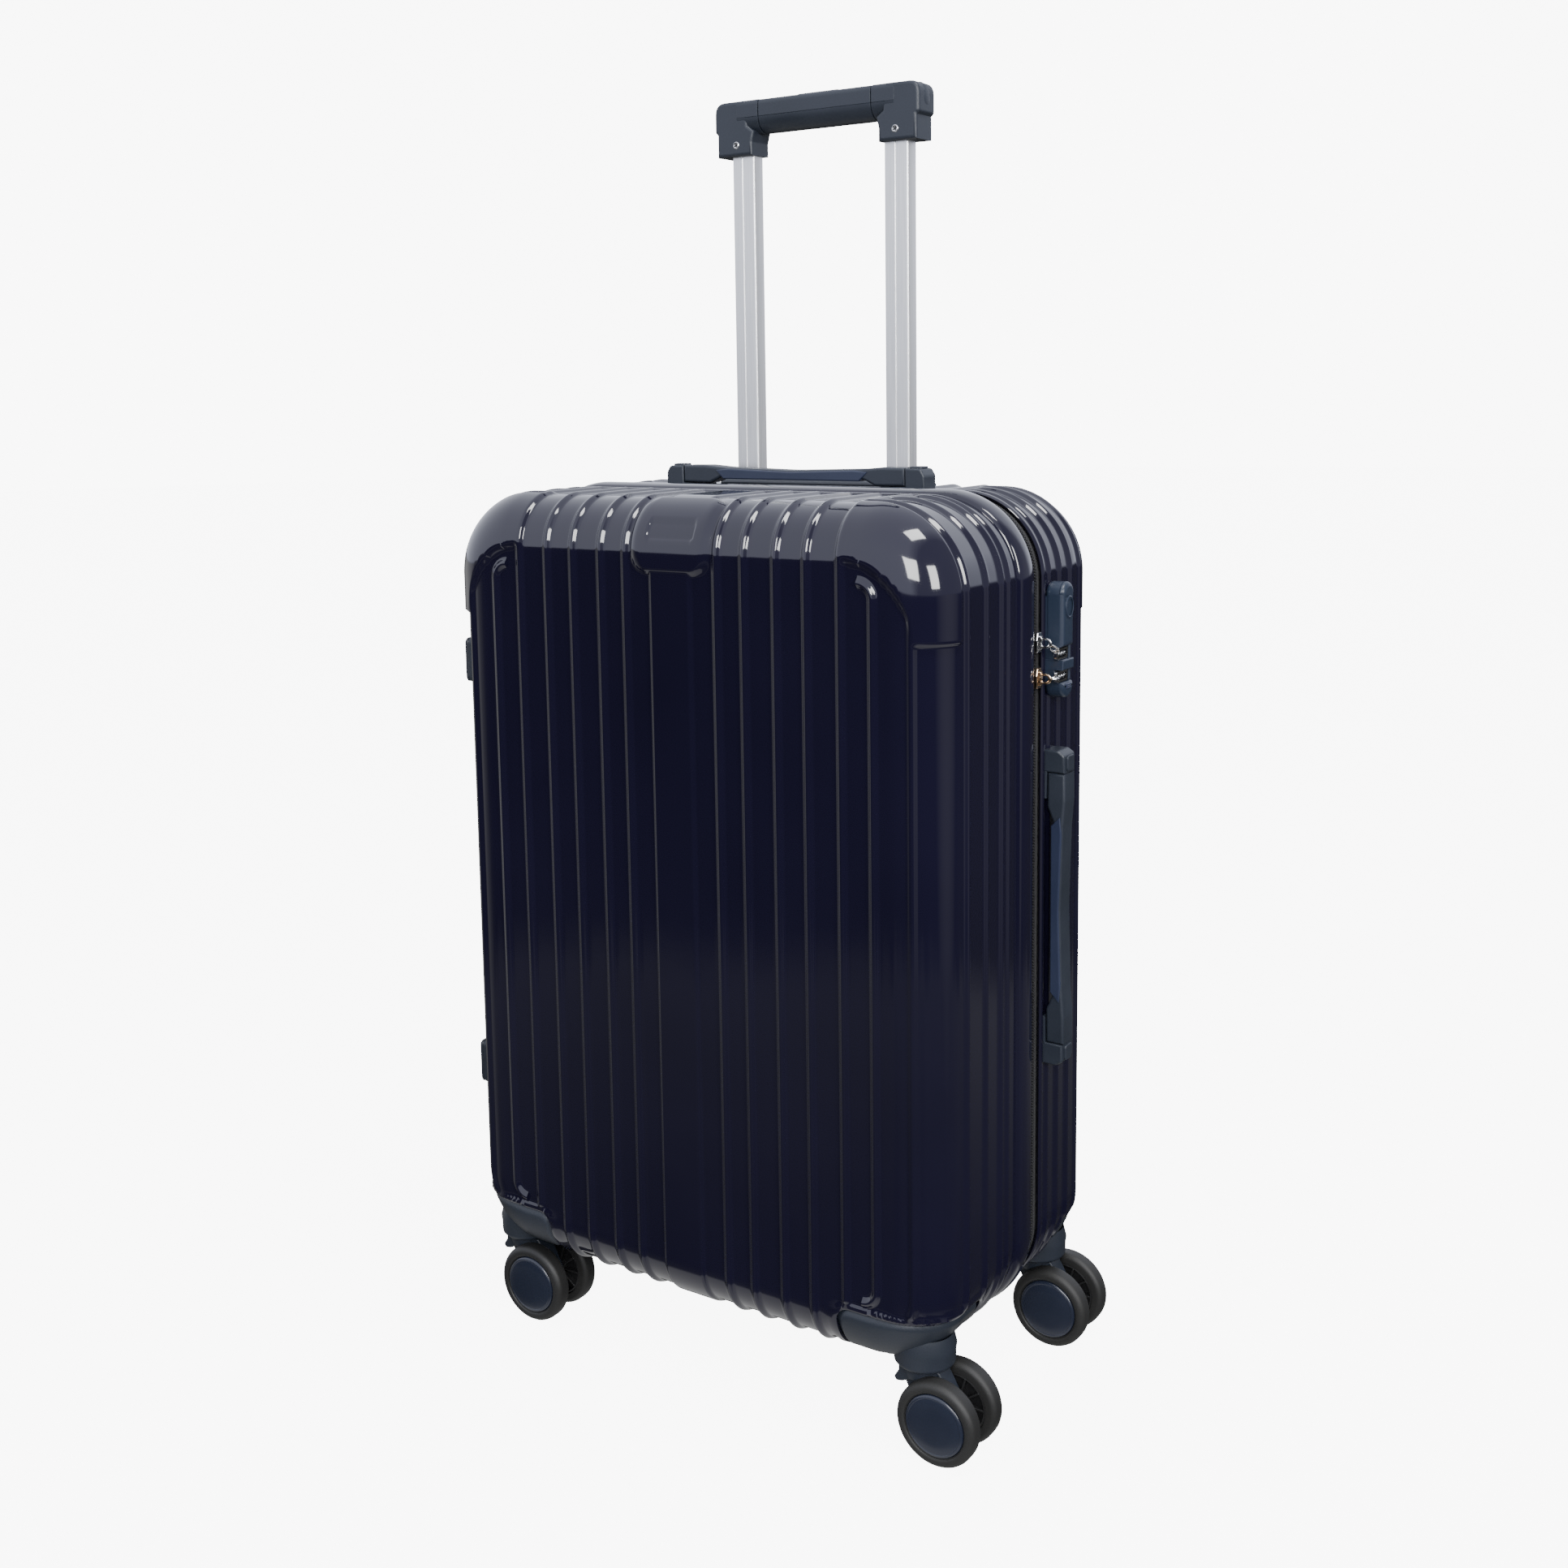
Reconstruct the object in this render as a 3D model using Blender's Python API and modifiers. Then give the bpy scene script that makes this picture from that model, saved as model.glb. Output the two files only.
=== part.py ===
"""Hard-shell suitcase on four double casters, as separate rigid sub-parts.

Metres, +Z up, front shell towards -Y, side handle and lock towards +X.
The case frame has x = 0 on the body's centre line, y = 0 on the zipper plane and z = 0 on
the floor. ORIGIN carries it to the object's frame, whose origin is the bounding box's
bottom centre.
"""
import math

import bmesh
import bpy
from mathutils import Matrix, Vector

# ---------------------------------------------------------------- driving dimensions
HALF_W = 0.2094           # half width of the shell body
Z_LOW, Z_TOP = 0.061, 0.651
DEPTH_FRONT, DEPTH_REAR = 0.141, 0.1017
CORNER = 0.060            # radius of the outline's corners, seen from the front
EDGE = 0.0376             # fillet between a face and the sides
WALL = 0.0025             # shell thickness
RIM = 0.007               # each rim stops this far from the zipper plane
BEAD = 0.0022             # height of a raised bead
BEAD_HALF = 0.0036        # half width of a bead's foot
TUBE = 0.0038             # height of the rounded rim
PLATE = 0.0406            # half width of the raised pad on the front's upper edge
BULGE = 0.0030            # height of the corner caps
GAP = 0.0003              # air between touching pieces
CLEAR = 0.0004

BEADS_X = (0.0388, 0.0610, 0.0866, 0.1105, 0.1364)
BEADS_SIDE_FRONT = (0.1045, 0.0772, 0.0547)
BEADS_SIDE_REAR = (0.0735, 0.0555, 0.0375)
BAND = 0.0171             # half width of the raised band down the middle

SWIVEL_X, SWIVEL_FRONT, SWIVEL_REAR = 0.179, -0.1077, 0.0741
TRAIL = 0.019
WHEEL_R = 0.030
FACETS = 20
TYRE_IN, TYRE_OUT = 0.0095, 0.0235
HUB_R = 0.0222
BOSS_R, BOSS_Z = 0.0215, 0.0622
STEM_R, STEM_TOP = 0.0060, 0.0775
HOUSE_X, HOUSE_LOW, HOUSE_TOP = 0.128, 0.0680, 0.1015
HOUSE_FRONT, HOUSE_REAR = -0.074, 0.050

TUBE_X, TUBE_Y = 0.068, 0.0645
INNER_HALF = (0.01025, 0.0066)
OUTER_HALF = (0.0122, 0.0085)
GRIP_LOW, GRIP_BAR, GRIP_TOP = 0.9053, 0.9215, 0.9468
GRIP_END, GRIP_SEAM, GRIP_DEEP = 0.0905, 0.0500, 0.0125

HANDLE_LEN, HANDLE_UP = 0.230, 0.0165
HANDLE_Y = (0.0125, 0.0310)
SIDE_HANDLE_Z = 0.3560
LOCK_Z, LOCK_LEN = 0.5490, 0.0820
LOCK_Y = (0.0125, 0.0310)
LOCK_OUT = 0.0148
PULL_Z = (0.5400, 0.5240)
SLIDER_Z = (0.5490, 0.5240)
FOOT_Z = (0.5210, 0.1955)
FOOT_Y_FRONT, FOOT_Y_REAR = -0.1010, 0.0670
FOOT_OUT = 0.0125
HINGE_X = -(HALF_W + 0.0030)

LEFT_REACH = HALF_W + FOOT_OUT
RIGHT_REACH = SWIVEL_X + TRAIL + WHEEL_R
FRONT_REACH, REAR_REACH = DEPTH_FRONT + BULGE, DEPTH_REAR + BULGE
ORIGIN = Vector(((LEFT_REACH - RIGHT_REACH) / 2, (FRONT_REACH - REAR_REACH) / 2, 0.0))

NAVY_SHELL = ((0.010, 0.010, 0.028), 0.12, 0.0)
NAVY_MATTE = ((0.030, 0.045, 0.075), 0.45, 0.0)
NAVY_LIGHT = ((0.060, 0.080, 0.150), 0.40, 0.0)
BLACK = ((0.012, 0.012, 0.014), 0.50, 0.0)
RUBBER = ((0.030, 0.030, 0.031), 0.70, 0.0)
CLOTH = ((0.040, 0.045, 0.060), 0.90, 0.0)
ALUMINIUM = ((0.72, 0.73, 0.75), 0.30, 1.0)
CHROME = ((0.80, 0.80, 0.80), 0.12, 1.0)
BRASS = ((0.70, 0.52, 0.30), 0.20, 1.0)

# ---------------------------------------------------------------- scene and helpers
for old in list(bpy.data.objects):
    bpy.data.objects.remove(old, do_unlink=True)

CASE = bpy.data.collections.new("suitcase")
CUTTERS = bpy.data.collections.new("cutters")
bpy.context.scene.collection.children.link(CASE)
bpy.context.scene.collection.children.link(CUTTERS)


def material(name, look):
    """One Principled material for one sub-part."""
    colour, rough, metal = look
    mat = bpy.data.materials.new(name + "_mat")
    mat.use_nodes = True
    shader = mat.node_tree.nodes["Principled BSDF"]
    shader.inputs["Base Color"].default_value = (*colour, 1.0)
    shader.inputs["Roughness"].default_value = rough
    shader.inputs["Metallic"].default_value = metal
    mat.diffuse_color = (*colour, 1.0)
    return mat


def emit(name, bm, look, pivot=(0.0, 0.0, 0.0)):
    """Put a case-frame mesh into the scene with its origin at pivot."""
    pivot = Vector(pivot)
    bmesh.ops.translate(bm, vec=-pivot, verts=bm.verts)
    bmesh.ops.recalc_face_normals(bm, faces=bm.faces)
    mesh = bpy.data.meshes.new(name)
    bm.to_mesh(mesh)
    bm.free()
    obj = bpy.data.objects.new(name, mesh)
    obj.location = pivot + ORIGIN
    if look is None:
        CUTTERS.objects.link(obj)
        obj.hide_render = True
        obj.display_type = "WIRE"
    else:
        CASE.objects.link(obj)
        mesh.materials.append(material(name, look))
    return obj


def copy_of(source, name, look, pivot):
    """Another object that shares source's finished shape, with its own material."""
    mesh = source.data.copy()
    mesh.name = name
    mesh.materials.clear()
    mesh.materials.append(material(name, look))
    obj = bpy.data.objects.new(name, mesh)
    obj.location = Vector(pivot) + ORIGIN
    CASE.objects.link(obj)
    return obj


def settle(obj):
    """Replace an object's mesh by the result of its modifiers."""
    graph = bpy.context.evaluated_depsgraph_get()
    mesh = bpy.data.meshes.new_from_object(obj.evaluated_get(graph))
    obj.modifiers.clear()
    obj.data = mesh
    return obj


def boolean(obj, other, how):
    mod = obj.modifiers.new(how.lower(), "BOOLEAN")
    mod.operation = how
    mod.solver = "EXACT"
    mod.object = other
    return obj


def bevel(obj, width, segments=2, angle=40.0):
    mod = obj.modifiers.new("edges", "BEVEL")
    mod.width = width
    mod.segments = segments
    mod.limit_method = "ANGLE"
    mod.angle_limit = math.radians(angle)
    return obj


def mirror_x(obj):
    """Repeat a cutter on the other side of the body's centre plane."""
    mod = obj.modifiers.new("other_side", "MIRROR")
    mod.use_axis = (True, False, False)
    mod.use_mirror_merge = False
    return obj


def mirrored(source, name, look):
    """The same piece on the other side of the body's centre plane."""
    bm = bmesh.new()
    bm.from_mesh(source.data)
    pivot = source.location - ORIGIN
    for v in bm.verts:
        v.co = Vector((-(v.co.x + pivot.x), v.co.y + pivot.y, v.co.z + pivot.z))
    return emit(name, bm, look, (-pivot.x, pivot.y, pivot.z))


def add_box(bm, x, y, z):
    """An axis-aligned box given by three (low, high) pairs."""
    made = bmesh.ops.create_cube(bm, size=1.0)
    size = Vector((x[1] - x[0], y[1] - y[0], z[1] - z[0]))
    mid = Vector((x[0] + x[1], y[0] + y[1], z[0] + z[1])) / 2
    bmesh.ops.scale(bm, vec=size, verts=made["verts"])
    bmesh.ops.translate(bm, vec=mid, verts=made["verts"])
    return made["verts"]


def box(x, y, z):
    bm = bmesh.new()
    add_box(bm, x, y, z)
    return bm


def weld(obj, place):
    """The finished mesh of a guide object, placed in the case frame; the guide is removed."""
    graph = bpy.context.evaluated_depsgraph_get()
    mesh = bpy.data.meshes.new_from_object(obj.evaluated_get(graph))
    bm = bmesh.new()
    bm.from_mesh(mesh)
    bpy.data.objects.remove(obj, do_unlink=True)
    bmesh.ops.remove_doubles(bm, verts=bm.verts, dist=0.000005)
    for v in bm.verts:
        v.co = Vector(place(*v.co))
    return bm


def prism(outline, low, high, place):
    """A closed flat outline extruded from low to high; place(u, v, w) gives the 3D point."""
    data = bpy.data.curves.new("outline", "CURVE")
    data.dimensions = "2D"
    data.fill_mode = "BOTH"
    data.extrude = (high - low) / 2
    spline = data.splines.new("POLY")
    spline.points.add(len(outline) - 1)
    for point, (u, v) in zip(spline.points, outline):
        point.co = (u, v, 0.0, 1.0)
    spline.use_cyclic_u = True
    mid = (low + high) / 2
    obj = bpy.data.objects.new("outline", data)
    bpy.context.scene.collection.objects.link(obj)
    return weld(obj, lambda u, v, w: place(u, v, w + mid))


def along_y(u, v, w):
    return (u, w, v)


def along_x(u, v, w):
    return (w, u, v)


def along_z(u, v, w):
    return (u, v, w)


def turned(profile, matrix, facets=FACETS, ring=False, phase=0.0):
    """(radius, height) points turned about local Z; ring closes the profile on itself."""
    n = len(profile)
    edges = [(k, k + 1) for k in range(n - 1)] + ([(n - 1, 0)] if ring else [])
    mesh = bpy.data.meshes.new("profile")
    mesh.from_pydata([(r, 0.0, z) for r, z in profile], edges, [])
    obj = bpy.data.objects.new("profile", mesh)
    bpy.context.scene.collection.objects.link(obj)
    mod = obj.modifiers.new("turn", "SCREW")
    mod.steps = mod.render_steps = facets
    mod.use_merge_vertices = True
    mod.merge_threshold = 0.00001
    turn = matrix @ Matrix.Rotation(2 * math.pi * phase / facets, 4, "Z")
    return weld(obj, lambda x, y, z: turn @ Vector((x, y, z)))


def at(x, y, z):
    return Matrix.Translation((x, y, z))


def facing_y(x, y, z):
    """Local Z points along -Y."""
    return at(x, y, z) @ Matrix.Rotation(math.pi / 2, 4, "X")


def facing_x(x, y, z):
    """Local Z points along +X."""
    return at(x, y, z) @ Matrix.Rotation(math.pi / 2, 4, "Y")


def stitch(bm, one, two, closed):
    """Join two vertex chains that run side by side with triangles."""
    def shares(chain):
        ring = chain + [chain[0]] if closed else chain
        steps = [0.0]
        for a, b in zip(ring, ring[1:]):
            steps.append(steps[-1] + (b.co - a.co).length)
        return [s / steps[-1] for s in steps]
    sa, sb = shares(one), shares(two)
    na, nb = len(one), len(two)
    last_a, last_b = (na, nb) if closed else (na - 1, nb - 1)
    i = j = 0
    while i < last_a or j < last_b:
        step_a = j >= last_b or (i < last_a and sa[i + 1] <= sb[j + 1])
        a, b = one[i % na], two[j % nb]
        if step_a:
            i += 1
            bm.faces.new((a, one[i % na], b))
        else:
            j += 1
            bm.faces.new((a, two[j % nb], b))


# ---------------------------------------------------------------- the shell surface
def surface_point(pivot_x, pivot_z, dir_x, dir_z, q, tray, lift):
    """Point q along a spoke: across the face, round the edge fillet, along the side."""
    depth, corner, edge, sign = tray["depth"], tray["corner"], tray["edge"], tray["sign"]
    flat, arc = corner - edge, edge * math.pi / 2
    if q <= flat:
        out, y, n_out, n_y = q, -depth, 0.0, -1.0
    elif q <= flat + arc:
        a = (q - flat) / edge
        out, y = flat + edge * math.sin(a), -depth + edge - edge * math.cos(a)
        n_out, n_y = math.sin(a), -math.cos(a)
    else:
        out, y, n_out, n_y = corner, -depth + edge + (q - flat - arc), 1.0, 0.0
    out += lift * n_out
    y += lift * n_y
    return Vector((pivot_x + dir_x * out, -sign * y, pivot_z + dir_z * out))


def q_at(tray, y):
    """Distance along a spoke of a point on the side, y before the zipper plane."""
    flat, arc = tray["corner"] - tray["edge"], tray["edge"] * math.pi / 2
    return flat + arc + (tray["depth"] - tray["edge"] - y)


def tray_of(depth, sign, inset=0.0, edge=EDGE, rim=RIM):
    """Sizes of one half of the case, taken inward by inset."""
    return {"depth": depth - inset, "sign": sign, "edge": max(edge - inset, 0.004), "rim": rim,
            "corner": CORNER - inset, "half": HALF_W - inset,
            "low": Z_LOW + inset, "top": Z_TOP - inset}


def spokes_of(tray, steps, side_rows):
    """(pivot x, pivot z, direction) round one side, from straight up to straight down."""
    x = tray["half"] - tray["corner"]
    high, low = tray["top"] - tray["corner"], tray["low"] + tray["corner"]
    out = []
    for k in range(steps + 1):
        a = math.pi / 2 * (1 - k / steps)
        out.append((x, high, math.cos(a), math.sin(a)))
    out += [(x, z, 1.0, 0.0) for z in side_rows]
    for k in range(steps + 1):
        a = -math.pi / 2 * k / steps
        out.append((x, low, math.cos(a), math.sin(a)))
    return out


def tray_surface(bm, tray, columns, rows, stations, steps, side_rows, lift_middle, lift_side):
    """One half's surface. Returns its rim as an ordered vertex loop."""
    high, low = tray["top"] - tray["corner"], tray["low"] + tray["corner"]
    grid = []
    for x in columns:
        line = []
        for kind, value in rows:
            pivot = {"top": high, "bottom": low}.get(kind, value)
            way = -1.0 if kind == "bottom" else 1.0
            q = 0.0 if kind == "face" else value
            line.append(bm.verts.new(
                surface_point(x, pivot, 0.0, way, q, tray, lift_middle(x, kind, value))))
        grid.append(line)
    for a, b in zip(grid, grid[1:]):
        for k in range(len(rows) - 1):
            bm.faces.new((a[k], a[k + 1], b[k + 1], b[k]))
    spokes = spokes_of(tray, steps, side_rows)
    rims = []
    for side, edge_line in ((1.0, grid[-1]), (-1.0, grid[0])):
        fans = []
        shared = {}
        for number, (px, pz, dx, dz) in enumerate(spokes):
            line = []
            for place, q in enumerate(stations):
                key = (round(pz, 6), 0) if place == 0 else (number, place)
                if key not in shared:
                    lift = lift_side(pz, dz, q)
                    co = surface_point(px, pz, dx, dz, q, tray, lift)
                    shared[key] = bm.verts.new((co.x * side, co.y, co.z))
                line.append(shared[key])
            fans.append(line)
        for a, b in zip(fans, fans[1:]):
            for k in range(len(stations) - 1):
                face = list(dict.fromkeys((a[k], a[k + 1], b[k + 1], b[k])))
                bm.faces.new(face)
        seam = list(reversed(fans[0]))
        for line in fans[1:-1]:
            if line[0] is not seam[-1]:
                seam.append(line[0])
        if fans[-1][0] is not seam[-1]:
            seam.append(fans[-1][0])
        seam += fans[-1][1:]
        stitch(bm, edge_line, seam, False)
        rims.append([line[-1] for line in fans])
    top = [line[0] for line in grid]
    bottom = [line[-1] for line in grid]
    return top + rims[0] + list(reversed(bottom)) + list(reversed(rims[1]))


def plain(*_):
    return 0.0


def plain_surface(bm, tray, steps=4, side_rows=()):
    """The same half without any relief."""
    flat, arc = tray["corner"] - tray["edge"], tray["edge"] * math.pi / 2
    end = q_at(tray, tray["rim"])
    turn = [flat + arc * k / 3 for k in range(4)]
    rows = [("top", q) for q in [end] + turn[::-1]] + [("bottom", q) for q in turn + [end]]
    x = tray["half"] - tray["corner"]
    return tray_surface(bm, tray, (-x * 0.96, x * 0.96), rows, [0.0] + turn + [end],
                        steps, side_rows, plain, plain)


def solid_between(bm, outer_rim, inner_rim):
    """Close a shell along its rim, between the outer and the inner surface."""
    stitch(bm, outer_rim, inner_rim, True)


def ridge(centre, half=BEAD_HALF):
    return (centre - half, centre, centre + half)


def bead_lift(value, centres, half=BEAD_HALF, height=BEAD):
    """Height of a triangular ridge row at value."""
    best = 0.0
    for c in centres:
        best = max(best, height * (1 - abs(value - c) / half))
    return best


def shell(name, depth, sign, side_beads, plate):
    """One moulded half shell with its beads, rim and corner caps."""
    tray = tray_of(depth, sign)
    flat, arc = CORNER - EDGE, EDGE * math.pi / 2
    end = q_at(tray, RIM)
    rim_foot = q_at(tray, 0.031 if plate else 0.0115)
    rim_crown = q_at(tray, 0.018 if plate else 0.0092)
    rim_high = TUBE if plate else 0.0020
    bead_end, bead_start = (q_at(tray, 0.034), q_at(tray, 0.042)) if plate else (
        flat + arc, flat + arc * 2 / 3)
    seam_x = HALF_W - CORNER
    near_q = [0.1603 - seam_x, flat + EDGE * math.asin((0.187 - seam_x - flat) / EDGE)]
    side_q = [q_at(tray, y) for y in side_beads]
    bulge_q = q_at(tray, side_beads[0]) - 0.012
    stations = sorted([0.0, flat, 0.0470, 0.0600, bulge_q, bulge_q + 0.003]
                      + [q for c in near_q + side_q for q in ridge(c)])
    stations += [rim_foot, rim_crown, end]
    columns = [-seam_x * 0.963] + sorted(
        [s * q for s in (-1, 1) for c in BEADS_X for q in ridge(c)]
        + [s * q for s in (-1, 1) for q in (BAND - 0.001, BAND + 0.001)]) + [seam_x * 0.963]
    turn = [flat + arc * k / 3 for k in range(4)]
    top = sorted(set([end, rim_crown, rim_foot, bead_end, bead_start] + turn), reverse=True)
    rows = [("top", q) for q in top]
    if plate:
        rows += [("face", 0.6045), ("face", 0.5985)]
    rows += [("bottom", q) for q in top[::-1]]

    def lift_middle(x, kind, value):
        q = 0.0 if kind == "face" else value
        if q > rim_foot - 1e-6:
            return {rim_foot: 0.0, rim_crown: rim_high, end: 0.0012}[q]
        if q > bead_end - 1e-6:
            return 0.0
        on_plate = plate and abs(x) < PLATE and (kind == "top" or (kind == "face" and value > 0.602))
        if on_plate:
            return BEAD
        band = BEAD if abs(x) < BAND else 0.0
        return max(band, bead_lift(abs(x), BEADS_X))

    def lift_side(pivot_z, dir_z, q):
        if q > rim_foot - 1e-6:
            return {rim_foot: 0.0, rim_crown: rim_high, end: 0.0012}[q]
        if pivot_z > 0.5640 and q <= bulge_q + 1e-6:
            return BULGE
        if near_q[1] + BEAD_HALF + 0.002 < q < side_q[0] - BEAD_HALF - 1e-6:
            return -0.0008
        return bead_lift(q, near_q + side_q)

    bm = bmesh.new()
    outer = tray_surface(bm, tray, columns, rows, stations, 4, (0.5655, 0.5625),
                         lift_middle, lift_side)
    inner = plain_surface(bm, tray_of(depth, sign, WALL))
    solid_between(bm, outer, inner)
    return emit(name, bm, NAVY_SHELL)


def blank(name, depth, sign, grow):
    """A closed plain half body, used to give the wheel housings the case's form."""
    bm = bmesh.new()
    tray = tray_of(depth, sign, -grow, rim=0.020)
    bm.faces.new(plain_surface(bm, tray))
    return emit(name, bm, None)


def house_box(name, front, slack):
    """Cutter round one wheel housing at +X."""
    y = (-0.20, HOUSE_FRONT + slack) if front else (HOUSE_REAR - slack, 0.20)
    obj = emit(name, box((HOUSE_X - slack, 0.26), y, (0.02, HOUSE_TOP + slack)), None)
    return bevel(obj, 0.011, 2)


def cut_for_houses(obj, front, slack, tag):
    cutter = house_box("cut_house_" + tag, front, slack)
    mirror_x(cutter)
    return boolean(obj, cutter, "DIFFERENCE")


# ---------------------------------------------------------------- shells, linings, zipper
def front_half():
    obj = shell("front_shell", DEPTH_FRONT, -1, BEADS_SIDE_FRONT, True)
    cut_for_houses(obj, True, GAP, "front_shell")
    return settle(obj)


def rear_half():
    obj = shell("rear_shell", DEPTH_REAR, 1, BEADS_SIDE_REAR, False)
    cut_for_houses(obj, False, GAP, "rear_shell")
    slot = emit("cut_trolley", box((-0.0860, 0.0860), (0.0530, 0.0760), (0.60, 0.70)), None)
    boolean(obj, slot, "DIFFERENCE")
    return settle(obj)


def lining(name, depth, sign, edge):
    """Thin fabric tray inside a half shell."""
    bm = bmesh.new()
    inset = WALL + 0.0016
    plain_surface(bm, tray_of(depth + inset, sign, inset, edge, rim=0.018))
    obj = emit(name, bm, CLOTH)
    mod = obj.modifiers.new("cloth", "SOLIDIFY")
    mod.thickness = 0.0012
    mod.offset = -1.0
    mod.use_even_offset = True
    return obj


def linings():
    obj = lining("front_lining", DEPTH_FRONT - 0.0041, -1, EDGE)
    cut_for_houses(obj, True, 0.0012, "front_lining")
    settle(obj)
    settle(lining("rear_lining", 0.0490, 1, 0.012))


def zipper_tape(name, sign):
    """Half of the zipper: tape inside the rim with the coil at its edge, open at the hinge."""
    section = ((-0.0040, 0.0160), (-0.0028, 0.0160), (-0.0028, 0.0034),
               (-0.0006, 0.0030), (-0.0006, 0.0002), (-0.0040, 0.0002))
    x = HALF_W - CORNER
    high, low = Z_TOP - CORNER, Z_LOW + CORNER
    path = [(-x, high, math.radians(135)), (-x, high, math.radians(112)), (-x, high, math.radians(90))]
    path += [(x, high, math.radians(a)) for a in (90, 67.5, 45, 22.5, 0)]
    path += [(x, low, math.radians(a)) for a in (0, -22.5, -45, -67.5, -90)]
    path += [(-x, low, math.radians(a)) for a in (-90, -112, -135)]
    bm = bmesh.new()
    rings = []
    for px, pz, a in path:
        ring = []
        for out, y in section:
            r = CORNER + out
            ring.append(bm.verts.new((px + r * math.cos(a), sign * y, pz + r * math.sin(a))))
        rings.append(ring)
    n = len(section)
    for a, b in zip(rings, rings[1:]):
        for k in range(n):
            bm.faces.new((a[k], a[(k + 1) % n], b[(k + 1) % n], b[k]))
    bm.faces.new(rings[0])
    bm.faces.new(rings[-1])
    return emit(name, bm, BLACK)


def hinge_tape():
    bm = box((HINGE_X - 0.0010, HINGE_X + 0.0010), (-0.0058, 0.0058), (0.135, 0.577))
    return emit("hinge_tape", bm, CLOTH)


def packing_strap():
    """Elastic strap across the rear half's back panel, with its clip."""
    z = 0.3550
    bm = box((-0.190, 0.190), (0.0450, 0.0466), (z - 0.0150, z + 0.0150))
    obj = emit("packing_strap", bm, BLACK)
    clip = emit("strap_clip", box((-0.030, 0.030), (0.0385, 0.0460), (z - 0.0190, z + 0.0190)), None)
    bevel(clip, 0.0015, 1)
    boolean(obj, clip, "UNION")
    return settle(obj)


# ---------------------------------------------------------------- wheels
def wheel_housings(tag, depth, sign, swivel_y):
    """Open-topped corner housings, one a side, with the caster's boss below."""
    name = "wheel_housing_%s_right" % tag
    front = sign < 0
    y_in = HOUSE_FRONT if front else HOUSE_REAR
    y = (-0.20, y_in) if front else (y_in, 0.20)
    obj = emit(name, box((HOUSE_X, 0.26), y, (HOUSE_LOW, HOUSE_TOP)), NAVY_MATTE)
    bevel(obj, 0.011, 2)
    form = blank("form_" + name, depth, sign, 0.0014)
    boolean(obj, form, "INTERSECT")
    well_y = (-0.1290, y_in - 0.004) if front else (y_in + 0.004, 0.0880)
    well = emit("well_" + name, box((HOUSE_X + 0.004, 0.1960), well_y, (0.0790, 0.20)), None)
    boolean(obj, well, "DIFFERENCE")
    boss = emit("boss_" + name, turned(
        [(0, BOSS_Z), (BOSS_R - 0.001, BOSS_Z), (BOSS_R, BOSS_Z + 0.001), (BOSS_R, 0.0785), (0, 0.0785)],
        at(SWIVEL_X, swivel_y, 0), 24), None)
    boolean(obj, boss, "UNION")
    bore = emit("bore_" + name, turned(
        [(0, 0.05), (STEM_R + CLEAR, 0.05), (STEM_R + CLEAR, 0.09), (0, 0.09)],
        at(SWIVEL_X, swivel_y, 0), 16), None)
    boolean(obj, bore, "DIFFERENCE")
    settle(obj)
    mirrored(obj, "wheel_housing_%s_left" % tag, NAVY_MATTE)


def fork_shape():
    """Stem, collar, shroud with its lip, and the web between the two wheels."""
    stem = turned([(0, 0.0608), (0.0150, 0.0608), (0.0150, BOSS_Z - GAP), (STEM_R, BOSS_Z - GAP),
                   (STEM_R, STEM_TOP), (0, STEM_TOP)], at(0, 0, 0), 16)
    obj = emit("caster_fork_1", stem, NAVY_MATTE)
    web = ((-0.0110, 0.0614), (-0.0125, 0.0480), (-0.0040, 0.0300), (0.0110, 0.0232), (0.0190, 0.0215),
           (0.0262, 0.0250), (0.0275, 0.0330), (0.0190, 0.0480), (0.0135, 0.0614))
    lip = ((-0.0148, 0.0612), (-0.0148, 0.0545), (-0.0180, 0.0488), (-0.0168, 0.0466),
           (-0.0125, 0.0470), (-0.0060, 0.0500), (0.0009, 0.0562), (0.0070, 0.0594), (0.0120, 0.0612))
    boolean(obj, emit("fork_web", prism(web, -0.0075, 0.0075, along_y), None), "UNION")
    boolean(obj, emit("fork_lip", prism(lip, -0.0112, 0.0112, along_y), None), "UNION")
    hole = turned([(0, -0.02), (0.0034, -0.02), (0.0034, 0.02), (0, 0.02)],
                  facing_y(TRAIL, 0, WHEEL_R), 12)
    boolean(obj, emit("fork_hole", hole, None), "DIFFERENCE")
    return settle(obj)


def tyre_shape(name, sign, centre):
    """Tyre ring on one side of the web, with a flat facet under the axle."""
    r = WHEEL_R / math.cos(math.pi / FACETS)
    profile = [(HUB_R + GAP, TYRE_IN), (r - 0.0020, TYRE_IN), (r, TYRE_IN + 0.0028),
               (r, TYRE_OUT - 0.0028), (r - 0.0020, TYRE_OUT), (HUB_R + GAP, TYRE_OUT)]
    bm = turned([(a, sign * b) for a, b in profile], facing_y(*centre), FACETS, True, 0.5)
    return emit(name, bm, RUBBER, centre)


def hub_shape(name, sign, centre):
    """Wheel body with a domed cap; the outer one carries the axle, the other runs on it."""
    rim = [(HUB_R, 0.0115), (HUB_R, 0.0232), (HUB_R - 0.0014, 0.0240), (0, 0.0248)]
    if sign > 0:
        profile = [(0, -0.0208), (0.0030, -0.0208), (0.0030, 0.0100), (0.0075, 0.0100)] + rim
    else:
        profile = [(0, 0.0212), (0.0033, 0.0212), (0.0033, 0.0100), (0.0075, 0.0100)] + rim
    bm = turned([(a, sign * b) for a, b in profile], facing_y(*centre), FACETS)
    return emit(name, bm, NAVY_MATTE, centre)


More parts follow.
